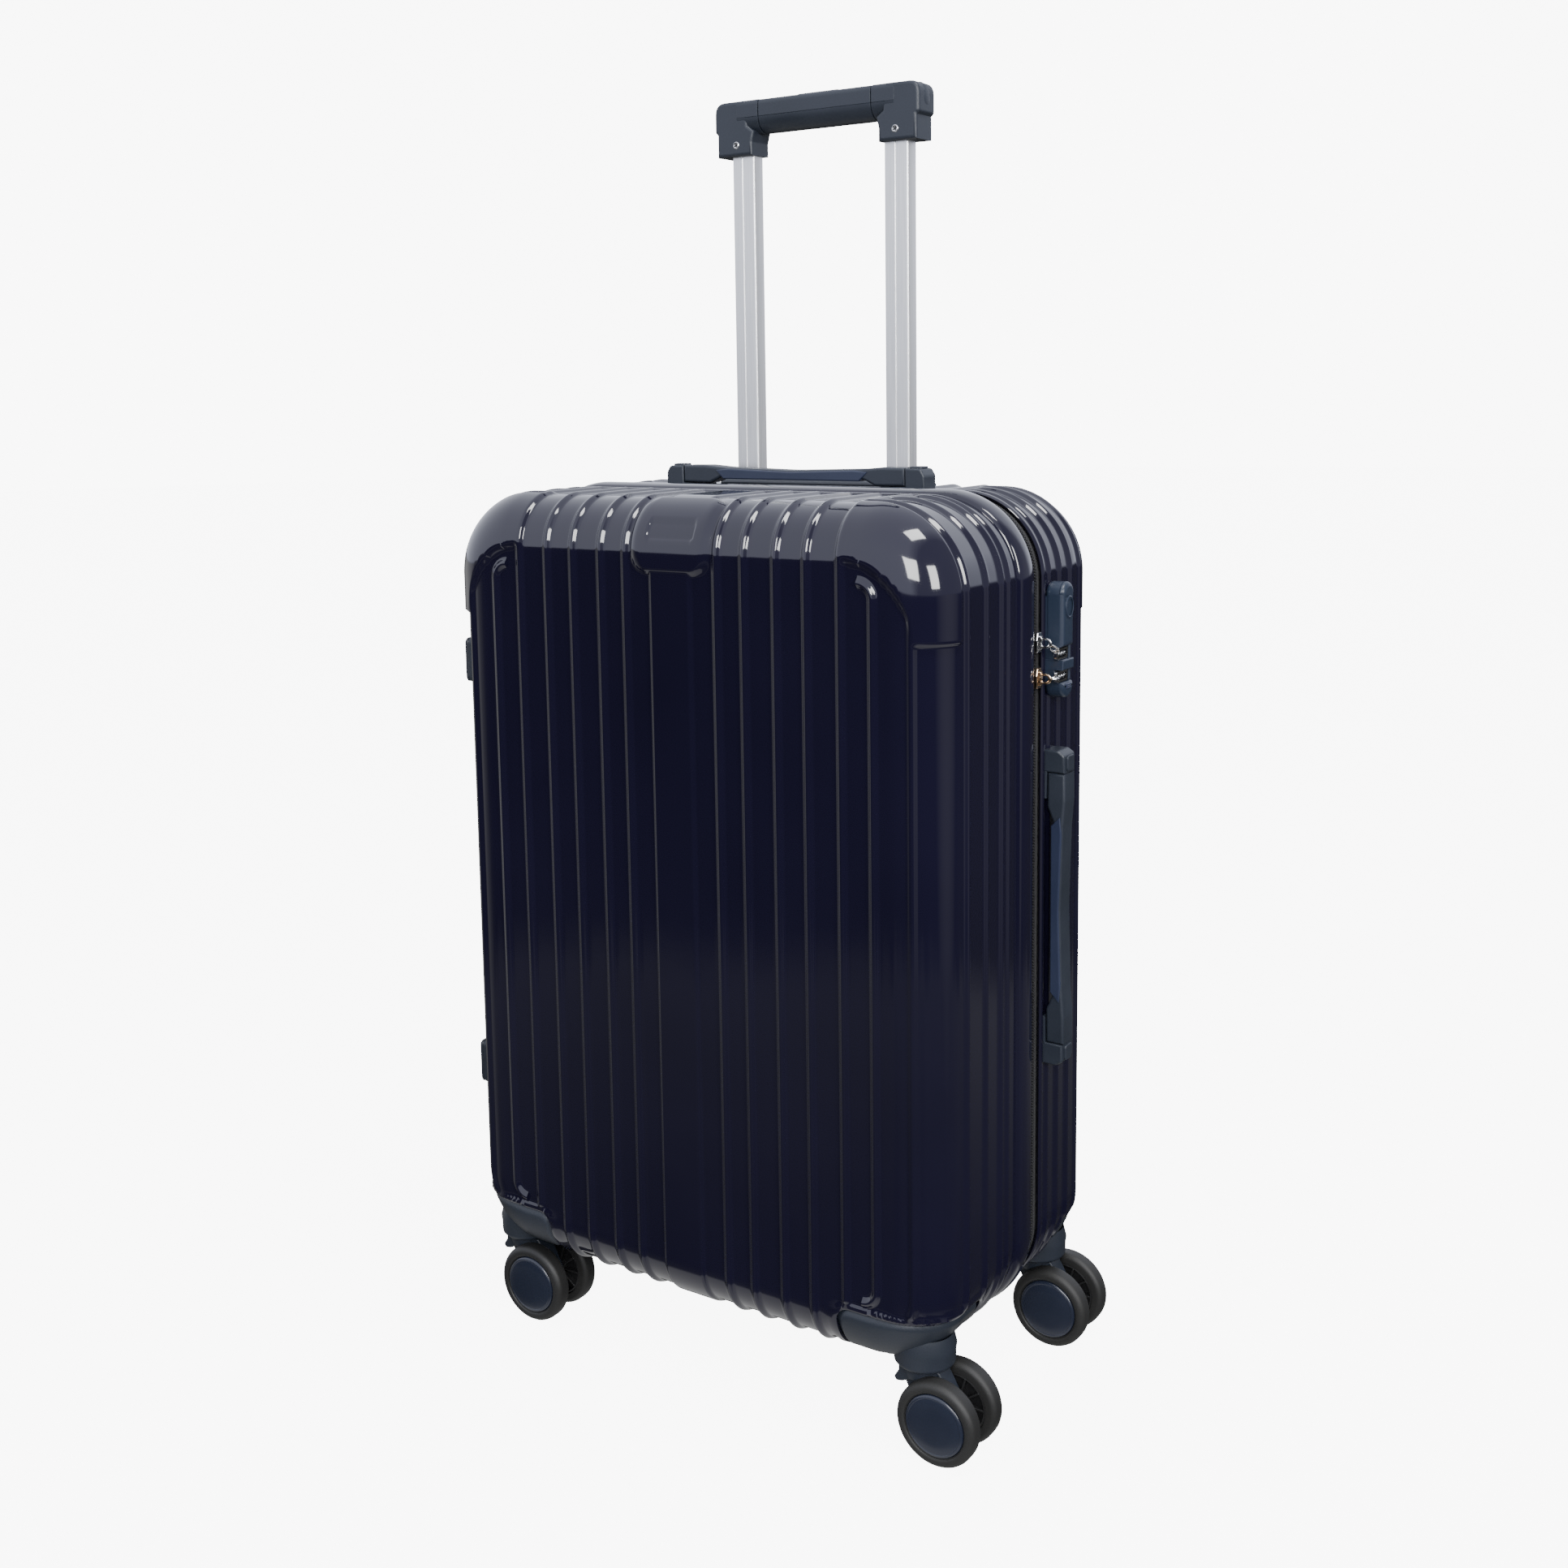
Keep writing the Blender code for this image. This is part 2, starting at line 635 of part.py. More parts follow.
def casters():
    """Four casters, all trailing towards +X, two wheels each."""
    fork = None
    number = 0
    for swivel_y in (SWIVEL_FRONT, SWIVEL_REAR):
        for swivel_x in (SWIVEL_X, -SWIVEL_X):
            number += 1
            foot = (swivel_x, swivel_y, 0.0)
            if fork is None:
                fork = fork_shape()
                fork.location = Vector(foot) + ORIGIN
            else:
                copy_of(fork, "caster_fork_%d" % number, NAVY_MATTE, foot)
            axle_at = (swivel_x + TRAIL, swivel_y, WHEEL_R)
            for sign, tag in ((1, "a"), (-1, "b")):
                tyre_shape("tyre_%d%s" % (number, tag), sign, axle_at)
                hub_shape("hub_%d%s" % (number, tag), sign, axle_at)


# ---------------------------------------------------------------- trolley handle
def tube(name, x, half, wall, low, high, pivot):
    """Rectangular tube, open at both ends."""
    bm = box((x - half[0], x + half[0]), (TUBE_Y - half[1], TUBE_Y + half[1]), (low, high))
    ends = [f for f in bm.faces if abs(f.calc_center_median().z - (low + high) / 2) > 0.01]
    bmesh.ops.delete(bm, geom=ends, context="FACES_ONLY")
    obj = emit(name, bm, ALUMINIUM, pivot)
    mod = obj.modifiers.new("wall", "SOLIDIFY")
    mod.thickness = wall
    mod.offset = -1.0
    mod.use_even_offset = True
    return settle(obj)


def trolley_fixed():
    for x, tag in ((-TUBE_X, "left"), (TUBE_X, "right")):
        tube("trolley_outer_tube_" + tag, x, OUTER_HALF, 0.0012, 0.1050, 0.6395, (x, TUBE_Y, 0))
    bracket = emit("trolley_bottom_bracket", box((-0.088, 0.088), (0.0545, 0.0745), (0.0900, 0.1046)), BLACK)
    bevel(bracket, 0.0015, 1)
    settle(bracket)
    bm = box((-0.0920, 0.0920), (0.0480, 0.0800), (Z_TOP + GAP, Z_TOP + 0.0046))
    obj = bevel(emit("trolley_top_housing", bm, NAVY_MATTE), 0.0018, 2)
    plug = box((-0.0857, 0.0857), (0.0533, 0.0757), (0.6402, Z_TOP + 0.002))
    boolean(obj, emit("housing_plug", plug, None), "UNION")
    bm = bmesh.new()
    for x in (-TUBE_X, TUBE_X):
        add_box(bm, (x - INNER_HALF[0] - CLEAR, x + INNER_HALF[0] + CLEAR),
                (TUBE_Y - INNER_HALF[1] - CLEAR, TUBE_Y + INNER_HALF[1] + CLEAR), (0.60, 0.70))
    boolean(obj, emit("housing_holes", bm, None), "DIFFERENCE")
    settle(obj)


def grip_ends():
    """Corner pieces of the grip, socketed for the tubes, with a recess for each screw."""
    r, end = 0.012, GRIP_END
    outline = [(GRIP_SEAM, GRIP_BAR), (0.0545, GRIP_LOW + 0.0125), (0.0555, GRIP_LOW), (end - 0.002, GRIP_LOW),
               (end - 0.002, GRIP_BAR)]
    for k in range(5):
        a = math.radians(22.5 * k)
        outline.append((end - r + r * math.cos(a), GRIP_TOP - r + r * math.sin(a)))
    outline.append((GRIP_SEAM, GRIP_TOP))
    deep = (TUBE_Y - GRIP_DEEP, TUBE_Y + GRIP_DEEP)
    obj = emit("trolley_corner_right", prism(outline, *deep, along_y), NAVY_MATTE,
               (TUBE_X, TUBE_Y, GRIP_LOW))
    bevel(obj, 0.0020, 1)
    hx, hy = INNER_HALF[0] + GAP, INNER_HALF[1] + GAP
    socket = box((TUBE_X - hx, TUBE_X + hx), (TUBE_Y - hy, TUBE_Y + hy), (0.89, 0.9165))
    boolean(obj, emit("tube_socket", socket, None), "DIFFERENCE")
    hole = turned([(0, -0.0022), (0.0031, -0.0022), (0.0031, 0.01), (0, 0.01)],
                  facing_y(TUBE_X + 0.002, deep[0], 0.9125), 12)
    boolean(obj, emit("screw_recess", hole, None), "DIFFERENCE")
    settle(obj)
    mirrored(obj, "trolley_corner_left", NAVY_MATTE)


def trolley_moving():
    """Grip, corners, button and inner tubes, which slide up and down together."""
    deep = (TUBE_Y - GRIP_DEEP, TUBE_Y + GRIP_DEEP)
    reach = GRIP_SEAM - GAP
    bar = emit("trolley_grip", box((-reach, reach), deep, (GRIP_BAR, GRIP_TOP)), NAVY_MATTE,
               (0, TUBE_Y, GRIP_LOW))
    bevel(bar, 0.0060, 3)
    pocket = box((-0.0190, 0.0190), (TUBE_Y - 0.0066, TUBE_Y + 0.0066), (GRIP_TOP - 0.0085, 0.97))
    boolean(bar, emit("button_pocket", pocket, None), "DIFFERENCE")
    settle(bar)
    grip_ends()
    top = GRIP_TOP + 0.0010
    button = emit("trolley_button", box((-0.0187, 0.0187), (TUBE_Y - 0.0063, TUBE_Y + 0.0063),
                                        (GRIP_TOP - 0.0035, top)), NAVY_MATTE, (0, TUBE_Y, top))
    settle(bevel(button, 0.0009, 1))
    for x, tag in ((-TUBE_X, "left"), (TUBE_X, "right")):
        tube("trolley_inner_tube_" + tag, x, INNER_HALF, 0.0010, 0.3600, 0.9160, (x, TUBE_Y, GRIP_LOW))


# ---------------------------------------------------------------- carry handles
def on_top(u, v, w):
    """Handle coordinates (along, up, across) for the handle on the top."""
    return (u, w, Z_TOP + v)


def on_side(u, v, w):
    """The same for the handle on the +X side."""
    return (HALF_W + v, w, SIDE_HANDLE_Z - u)


def handle(tag, place, slide_at, ends):
    """End mounts, and the grip that lifts between them."""
    half = HANDLE_LEN / 2
    for s, end in zip((-1, 1), ends):
        post = [(s * 0.0800, GAP), (s * half, GAP), (s * half, 0.0120), (s * (half - 0.004), HANDLE_UP - 0.001),
                (s * 0.0990, HANDLE_UP - 0.001), (s * 0.0990, 0.0030), (s * 0.0800, 0.0030)]
        bm = prism(post, HANDLE_Y[0], HANDLE_Y[1], place)
        settle(bevel(emit("%s_handle_mount_%s" % (tag, end), bm, NAVY_MATTE), 0.0010, 1))
    top, low = HANDLE_UP, 0.0060
    grip = [(-0.0986, 0.0034), (-0.0986, top), (-0.0800, top), (-0.0640, top - 0.0012), (0.0, top - 0.0030),
            (0.0640, top - 0.0012), (0.0800, top), (0.0986, top), (0.0986, 0.0034), (0.0700, 0.0034),
            (0.0560, low), (0.0, low - 0.0012), (-0.0560, low), (-0.0700, 0.0034)]
    bm = prism(grip, HANDLE_Y[0] + 0.0004, HANDLE_Y[1] - 0.0004, place)
    obj = emit(tag + "_handle_grip", bm, NAVY_LIGHT, slide_at)
    return settle(bevel(obj, 0.0016, 2))


# ---------------------------------------------------------------- lock, sliders, feet
def stadium(y, z_mid, length, steps=6):
    """Rounded-end outline in (y, z)."""
    r, mid = (y[1] - y[0]) / 2, (y[0] + y[1]) / 2
    out = []
    for k in range(steps + 1):
        a = math.pi * k / steps
        out.append((mid + r * math.cos(a), z_mid + length / 2 - r + r * math.sin(a)))
    for k in range(steps + 1):
        a = math.pi + math.pi * k / steps
        out.append((mid + r * math.cos(a), z_mid - length / 2 + r + r * math.sin(a)))
    return out


def lock():
    """Key lock: housing with two pull notches, cylinder and release latch."""
    x = (HALF_W + GAP, HALF_W + LOCK_OUT)
    mid = (LOCK_Y[0] + LOCK_Y[1]) / 2
    obj = emit("lock_housing", prism(stadium(LOCK_Y, LOCK_Z, LOCK_LEN), *x, along_x), NAVY_MATTE)
    bevel(obj, 0.0040, 2)
    bm = bmesh.new()
    for z in PULL_Z:
        add_box(bm, (HALF_W + 0.0080, 0.26), (0.0, 0.0275), (z - 0.0042, z + 0.0042))
    boolean(obj, emit("pull_notches", bm, None), "DIFFERENCE")
    seat = turned([(0, 0.0078), (0.0052, 0.0078), (0.0052, 0.03), (0, 0.03)],
                  facing_x(HALF_W, mid, LOCK_Z + 0.0235), 16)
    boolean(obj, emit("cylinder_seat", seat, None), "DIFFERENCE")
    slot = box((HALF_W + 0.0108, 0.26), (mid - 0.0045, mid + 0.0045), (LOCK_Z - 0.0345, LOCK_Z - 0.0265))
    boolean(obj, emit("latch_seat", slot, None), "DIFFERENCE")
    settle(obj)
    core = turned([(0, 0.0081), (0.0048, 0.0081), (0.0048, 0.0138), (0.0042, 0.0143), (0, 0.0143)],
                  facing_x(HALF_W, mid, LOCK_Z + 0.0235), 16)
    emit("lock_cylinder", core, CHROME, (HALF_W, mid, LOCK_Z + 0.0235))
    latch = box((HALF_W + 0.0120, HALF_W + LOCK_OUT + 0.0006), (mid - 0.0042, mid + 0.0042),
                (LOCK_Z - 0.0342, LOCK_Z - 0.0302))
    settle(bevel(emit("lock_latch", latch, NAVY_LIGHT, (HALF_W + 0.0120, mid, LOCK_Z - 0.0322)), 0.0004, 1))


def sliders():
    """Two zipper sliders with pulls that fold into the lock's notches."""
    for k, tag in enumerate(("upper", "lower")):
        z, pull_z = SLIDER_Z[k], PULL_Z[k]
        look = (CHROME, BRASS)[k]
        post_x = HALF_W + 0.0112
        body = bmesh.new()
        add_box(body, (HALF_W + 0.0004, HALF_W + 0.0030), (-0.0044, 0.0044), (z - 0.0075, z + 0.0075))
        obj = emit("slider_" + tag, body, look, (HALF_W, 0, z))
        bevel(obj, 0.0008, 1)
        z_post = (z - 0.0020, z + 0.0020)
        post = box((HALF_W + 0.0020, post_x + 0.0014), (-0.0016, 0.0016), z_post)
        boolean(obj, emit("slider_post_" + tag, post, None), "UNION")
        settle(obj)
        bm = prism(pull_outline(z, pull_z), post_x - 0.0008, post_x + 0.0008, along_x)
        emit("pull_" + tag, bm, CHROME, (post_x, 0.0030, z))


def pull_outline(z, pull_z):
    """Arm beside the slider's post, then the tab that lies in the notch."""
    out = [(0.0020, z - 0.0024), (0.0020, z + 0.0024), (0.0056, z + 0.0024), (0.0090, pull_z + 0.0036),
           (0.0265, pull_z + 0.0036), (0.0265, pull_z - 0.0036), (0.0090, pull_z - 0.0036),
           (0.0056, z - 0.0024)]
    return out


def side_feet(half_name, y_mid):
    """Rounded studs on the hinge side, so the case can lie on it."""
    base, tip = HALF_W + BEAD + 0.0004, HALF_W + FOOT_OUT
    for z, tag in zip(FOOT_Z, ("upper", "lower")):
        bm = box((-tip, -base), (y_mid - 0.0120, y_mid + 0.0120), (z - 0.0175, z + 0.0175))
        settle(bevel(emit("side_foot_%s_%s" % (half_name, tag), bm, NAVY_MATTE), 0.0032, 2))


# ---------------------------------------------------------------- build
front_half()
rear_half()
linings()
zipper_tape("front_zipper_tape", -1)
zipper_tape("rear_zipper_tape", 1)
hinge_tape()
packing_strap()
wheel_housings("front", DEPTH_FRONT, -1, SWIVEL_FRONT)
wheel_housings("rear", DEPTH_REAR, 1, SWIVEL_REAR)
casters()
trolley_fixed()
trolley_moving()
handle("top", on_top, (0, (HANDLE_Y[0] + HANDLE_Y[1]) / 2, Z_TOP), ("left", "right"))
handle("side", on_side, (HALF_W, (HANDLE_Y[0] + HANDLE_Y[1]) / 2, SIDE_HANDLE_Z), ("upper", "lower"))
lock()
sliders()
side_feet("front", FOOT_Y_FRONT)
side_feet("rear", FOOT_Y_REAR)
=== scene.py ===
"""Looks of the hard-shell suitcase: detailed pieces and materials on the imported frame.

Places are given in the case frame: x = 0 on the centre line, y = 0 on the zipper plane with
the front half towards -Y, z = 0 on the floor. case() carries them to the frame's own axes.
"""
import math

import bmesh
import bpy
import numpy as np
from mathutils import Matrix, Vector


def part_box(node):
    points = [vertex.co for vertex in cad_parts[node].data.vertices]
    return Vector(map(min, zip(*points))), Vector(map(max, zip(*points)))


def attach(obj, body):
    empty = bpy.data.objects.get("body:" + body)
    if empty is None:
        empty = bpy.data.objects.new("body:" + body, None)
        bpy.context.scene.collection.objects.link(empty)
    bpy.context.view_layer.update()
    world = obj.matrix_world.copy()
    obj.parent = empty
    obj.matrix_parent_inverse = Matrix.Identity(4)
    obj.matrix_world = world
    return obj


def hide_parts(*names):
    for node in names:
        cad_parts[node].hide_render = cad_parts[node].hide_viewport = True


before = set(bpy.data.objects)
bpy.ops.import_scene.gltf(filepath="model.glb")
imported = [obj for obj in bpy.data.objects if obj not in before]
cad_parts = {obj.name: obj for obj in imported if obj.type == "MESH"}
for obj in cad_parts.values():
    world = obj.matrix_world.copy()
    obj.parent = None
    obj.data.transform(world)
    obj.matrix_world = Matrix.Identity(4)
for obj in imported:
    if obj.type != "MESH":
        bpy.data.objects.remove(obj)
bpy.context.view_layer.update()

# ---------------------------------------------------------------- places from the frame
shell_low, shell_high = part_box("front_shell")
tape_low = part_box("rear_zipper_tape")[0]
OX = (shell_low.x + shell_high.x) / 2
OY = tape_low.y - 0.0002

HALF_W, Z_LOW, Z_TOP = 0.2094, 0.0610, 0.6510
DEPTH_FRONT, DEPTH_REAR = 0.1410, 0.1017
CORNER, EDGE, WALL, RIM = 0.0600, 0.0376, 0.0025, 0.0070
FLAT, ARC = CORNER - EDGE, EDGE * math.pi / 2
SEAM_X = HALF_W - CORNER
TURN_HIGH, TURN_LOW = Z_TOP - CORNER, Z_LOW + CORNER
BEADS_X = (0.0388, 0.0610, 0.0866, 0.1105, 0.1364)
BEADS_OUT = (0.1603, 0.1870)
BAND = 0.0171
LEDGE_Y = 0.0440
BEAD_HALF, BEAD_HIGH = 0.0045, 0.0025
CAP_X, CAP_Z, CAP_R = 0.1355, 0.5635, 0.0505
HOUSE_X, HOUSE_TOP, HOUSE_ROUND = 0.1280, 0.1015, 0.0110
TUBE_X, TUBE_Y = 0.0680, 0.0645
GRIP_LOW, GRIP_BAR, GRIP_TOP = 0.9053, 0.9215, 0.9468
GRIP_END, GRIP_SEAM, GRIP_DEEP, GRIP_MOULD = 0.0905, 0.0500, 0.0125, 0.9338
HANDLE_LEN, HANDLE_UP, HANDLE_Y = 0.230, 0.0165, (0.0125, 0.0310)
SIDE_HANDLE_Z = 0.3560
LOCK_Z, LOCK_LEN, LOCK_Y, LOCK_OUT = 0.5490, 0.0820, (0.0125, 0.0310), 0.0148
PULL_Z, SLIDER_Z = (0.5400, 0.5240), (0.5490, 0.5240)
SWIVEL_X, SWIVEL_FRONT, SWIVEL_REAR = 0.1790, -0.1077, 0.0741
TRAIL, WHEEL_R, BOSS_Z = 0.0190, 0.0300, 0.0622
PAPER, CEILING, AMBIENT, BOX_AWAY = 9.0, 1.75, 0.95, 2.6


def case(x, y, z):
    return Vector((x + OX, y + OY, z))


# ---------------------------------------------------------------- materials
def new_material(name):
    mat = bpy.data.materials.new(name)
    mat.use_nodes = True
    return mat, mat.node_tree, mat.node_tree.nodes["Principled BSDF"]


def texture(tree, kind, scale, coord="Object", stretch=None, **inputs):
    """A texture node on object coordinates, stretched per axis where asked."""
    place = tree.nodes.new("ShaderNodeTexCoord").outputs[coord]
    if stretch:
        mapping = tree.nodes.new("ShaderNodeMapping")
        mapping.inputs["Scale"].default_value = stretch
        tree.links.new(place, mapping.inputs["Vector"])
        place = mapping.outputs["Vector"]
    node = tree.nodes.new(kind)
    tree.links.new(place, node.inputs["Vector"])
    node.inputs["Scale"].default_value = scale
    for key, value in inputs.items():
        node.inputs[key].default_value = value
    return node


def ramp(tree, fac, *stops):
    """Colour ramp through (position, colour or grey value) stops."""
    node = tree.nodes.new("ShaderNodeValToRGB")
    marks = node.color_ramp.elements
    while len(marks) < len(stops):
        marks.new(0.5)
    for mark, (place, colour) in zip(marks, stops):
        mark.position = place
        mark.color = (colour, colour, colour, 1.0) if isinstance(colour, float) else (*colour, 1.0)
    tree.links.new(fac, node.inputs["Fac"])
    return node.outputs["Color"]


def drift(tree, fac, low, high, shader, socket, start=0.3, end=0.7):
    """Drives a socket from low to high as fac rises from start to end."""
    tree.links.new(ramp(tree, fac, (start, low), (end, high)), shader.inputs[socket])


def bump(tree, shader, height, strength, distance, below=None):
    node = tree.nodes.new("ShaderNodeBump")
    node.inputs["Strength"].default_value = strength
    node.inputs["Distance"].default_value = distance
    tree.links.new(height, node.inputs["Height"])
    if below is not None:
        tree.links.new(below, node.inputs["Normal"])
    tree.links.new(node.outputs["Normal"], shader.inputs["Normal"])
    return node.outputs["Normal"]


def moulded(name, dark, light, rough=(0.40, 0.52), grain=900.0, depth=0.00008, coat=0.0):
    """Moulded plastic: fine grain, slow colour drift and uneven sheen."""
    mat, tree, shader = new_material(name)
    slow = texture(tree, "ShaderNodeTexNoise", 16.0, Detail=3.0).outputs["Fac"]
    fine = texture(tree, "ShaderNodeTexNoise", grain, Detail=2.0).outputs["Fac"]
    drift(tree, slow, dark, light, shader, "Base Color")
    drift(tree, slow, *rough, shader, "Roughness")
    bump(tree, shader, fine, 0.5, depth)
    shader.inputs["Coat Weight"].default_value = coat
    shader.inputs["Coat Roughness"].default_value = 0.10
    return mat


def gloss_shell():
    """Deep navy polycarbonate under a clear gloss with a faint ripple."""
    mat, tree, shader = new_material("shell_gloss")
    slow = texture(tree, "ShaderNodeTexNoise", 5.0, Detail=4.0).outputs["Fac"]
    wide = texture(tree, "ShaderNodeTexNoise", 24.0, Detail=1.0).outputs["Fac"]
    peel = texture(tree, "ShaderNodeTexNoise", 190.0, Detail=2.0).outputs["Fac"]
    drift(tree, slow, (0.0044, 0.0040, 0.0118), (0.0058, 0.0052, 0.0152), shader, "Base Color")
    drift(tree, slow, 0.05, 0.11, shader, "Roughness", end=0.75)
    ripple = bump(tree, shader, wide, 0.18, 0.0006)
    bump(tree, shader, peel, 0.10, 0.00008, ripple)
    shader.inputs["IOR"].default_value = 1.50
    shader.inputs["Coat Weight"].default_value = 0.40
    shader.inputs["Coat Roughness"].default_value = 0.03
    return mat


def metal(name, dark, light, rough, stretch=None, scale=60.0, depth=0.00003, metallic=1.0):
    """Metal with fine marks drawn along its length where stretch says so."""
    mat, tree, shader = new_material(name)
    marks = texture(tree, "ShaderNodeTexNoise", scale, stretch=stretch, Detail=4.0).outputs["Fac"]
    drift(tree, marks, dark, light, shader, "Base Color")
    drift(tree, marks, *rough, shader, "Roughness")
    bump(tree, shader, marks, 0.3, depth)
    shader.inputs["Metallic"].default_value = metallic
    return mat


def woven(name, dark, light, pitch, rough=0.85, depth=0.0003, sheen=0.15):
    """Plain weave from wave textures along the three axes, worn a little by a slow noise."""
    mat, tree, shader = new_material(name)
    waves = []
    for axis in ("Z", "X", "Y"):
        node = texture(tree, "ShaderNodeTexWave", 0.5 / pitch, Distortion=0.6)
        node.bands_direction = axis
        waves.append(node.outputs["Fac"])
    mix = waves[0]
    for other in waves[1:]:
        join = tree.nodes.new("ShaderNodeMath")
        join.operation = "MULTIPLY_ADD"
        join.inputs[1].default_value = 0.5
        tree.links.new(other, join.inputs[0])
        tree.links.new(mix, join.inputs[2])
        mix = join.outputs["Value"]
    slow = texture(tree, "ShaderNodeTexNoise", 30.0, Detail=4.0).outputs["Fac"]
    tint = tree.nodes.new("ShaderNodeMath")
    tint.operation = "MULTIPLY"
    tree.links.new(mix, tint.inputs[0])
    drift(tree, slow, 0.80, 1.0, tint, 1)
    drift(tree, tint.outputs["Value"], dark, light, shader, "Base Color", 0.1, 0.9)
    drift(tree, slow, rough, min(rough + 0.1, 1.0), shader, "Roughness")
    bump(tree, shader, mix, 0.7, depth)
    shader.inputs["Sheen Weight"].default_value = sheen
    return mat


SHELL = gloss_shell()
NAVY = moulded("navy_matte", (0.0110, 0.0150, 0.0235), (0.0145, 0.0190, 0.0300))
NAVY_SATIN = moulded("navy_satin", (0.0100, 0.0165, 0.0320), (0.0130, 0.0205, 0.0390), (0.30, 0.40),
                     depth=0.00004)
INSERT = moulded("insert_blue", (0.0150, 0.0200, 0.0430), (0.0190, 0.0250, 0.0510), (0.26, 0.36),
                 depth=0.00004)
CAP = moulded("wheel_cap", (0.0085, 0.0115, 0.0230), (0.0110, 0.0145, 0.0285), (0.24, 0.34),
              depth=0.00003, coat=0.3)
BLACK = moulded("black_plastic", (0.008, 0.008, 0.009), (0.014, 0.014, 0.015), (0.40, 0.55))
RUBBER = moulded("tyre_rubber", (0.0080, 0.0080, 0.0080), (0.0130, 0.0130, 0.0125), (0.50, 0.64),
                 500.0, 0.0001)
TUBE_METAL = metal("tube_satin", (0.80, 0.81, 0.83), (0.94, 0.95, 0.96), (0.30, 0.42),
                   (40.0, 40.0, 0.6), 30.0, metallic=0.85)
CHROME = metal("chrome", (0.70, 0.70, 0.70), (0.86, 0.86, 0.86), (0.08, 0.18), scale=300.0)
BRASS = metal("pale_brass", (0.66, 0.47, 0.30), (0.80, 0.60, 0.42), (0.14, 0.26), scale=300.0)
STEEL = metal("screw_steel", (0.50, 0.50, 0.51), (0.74, 0.74, 0.75), (0.18, 0.34), scale=700.0)
TAPE = woven("zipper_weave", (0.004, 0.004, 0.005), (0.016, 0.016, 0.018), 0.0006,
             depth=0.0001, sheen=0.02)
COIL = moulded("coil_nylon", (0.003, 0.003, 0.004), (0.007, 0.007, 0.008), (0.50, 0.62), 1500.0, 0.00002)
WEBBING = woven("strap_weave", (0.005, 0.005, 0.006), (0.022, 0.022, 0.025), 0.0011,
                depth=0.0002, sheen=0.03)
CLOTH = woven("lining_weave", (0.012, 0.015, 0.026), (0.040, 0.046, 0.066), 0.0009, depth=0.00015)


# ---------------------------------------------------------------- mesh helpers
def piece(name, part, mat, body, slot, replaces=(), sharp=35.0, weld=True):
    """A mesh from a (case-frame points, faces) pair, smooth but for edges sharper than the angle."""
    mesh = bpy.data.meshes.new(name)
    points, faces = part
    moved = np.asarray(points, float) + np.array((OX, OY, 0.0))
    mesh.from_pydata(moved.tolist(), [], [list(f) for f in faces])
    bm = bmesh.new()
    bm.from_mesh(mesh)
    if weld:
        bmesh.ops.remove_doubles(bm, verts=bm.verts, dist=0.000015)
    bm.to_mesh(mesh)
    bm.free()
    return place(name, mesh, mat, body, slot, replaces, sharp)


def place(name, mesh, mat, body, slot, replaces, sharp):
    """A mesh as an object that rides on a body and stands for CAD nodes; slot is not used."""
    obj = bpy.data.objects.new(name, mesh)
    bpy.context.scene.collection.objects.link(obj)
    mesh.materials.append(mat)
    mesh.shade_smooth()
    if sharp:
        mesh.set_sharp_from_angle(angle=math.radians(sharp))
    if max(len(p.vertices) for p in mesh.polygons) > 8:
        even = obj.modifiers.new("flat_caps", "WEIGHTED_NORMAL")
        even.weight = 100
        even.keep_sharp = True
    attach(obj, body)
    if replaces:
        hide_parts(*replaces)
    return obj


def joined(*parts):
    """Several (points, faces) pairs as one."""
    points, faces, count = [], [], 0
    for p, f in parts:
        p = np.asarray(p, float)
        points.append(p)
        faces += [[i + count for i in face] for face in f]
        count += len(p)
    return np.vstack(points), faces


def mapped(part, way):
    """A part with way(x, y, z) applied to every point."""
    points, faces = part
    return np.array([way(*p) for p in points]), faces


def turned_over(part, when=True):
    """A part with its faces looking the other way, where when says so."""
    points, faces = part
    return points, ([f[::-1] for f in faces] if when else faces)


def grid_faces(n, m, wrap_n=False, wrap_m=False):
    """Quads of an n by m grid of points, closed where asked."""
    rows = range(n if wrap_n else n - 1)
    cols = range(m if wrap_m else m - 1)
    return [[i * m + j, i * m + (j + 1) % m, (i + 1) % n * m + (j + 1) % m, (i + 1) % n * m + j]
            for i in rows for j in cols]


def quads_of(n, m):
    """Quads of an open n by m grid, as an array."""
    index = np.arange(n * m).reshape(n, m)
    return np.stack([index[:-1, :-1], index[:-1, 1:], index[1:, 1:], index[1:, :-1]], -1).reshape(-1, 4)


def rect(u0, v0, u1, v1):
    """A rectangle's corners, counter-clockwise."""
    return [(u0, v0), (u1, v0), (u1, v1), (u0, v1)]


def arc_points(centre, radius, start, end, steps):
    """Points on a circle, angles in degrees."""
    turns = [math.radians(start + (end - start) * k / steps) for k in range(steps + 1)]
    return [(centre[0] + radius * math.cos(a), centre[1] + radius * math.sin(a)) for a in turns]


def rounded(outline, radii, steps=4):
    """A polygon with its corners rounded; radii is one number or one for each corner."""
    n = len(outline)
    radii = [radii] * n if isinstance(radii, float) else list(radii)
    out = []
    for k in range(n):
        here = Vector(outline[k])
        before = Vector(outline[k - 1]) - here
        after = Vector(outline[(k + 1) % n]) - here
        if radii[k] <= 0:
            out.append(tuple(here))
            continue
        half = before.angle(after) / 2
        reach = min(radii[k] / math.tan(half), before.length * 0.49, after.length * 0.49)
        one, two = here + before.normalized() * reach, here + after.normalized() * reach
        for i in range(steps + 1):
            t = i / steps
            out.append(tuple(one * (1 - t) ** 2 + here * 2 * t * (1 - t) + two * t ** 2))
    return out


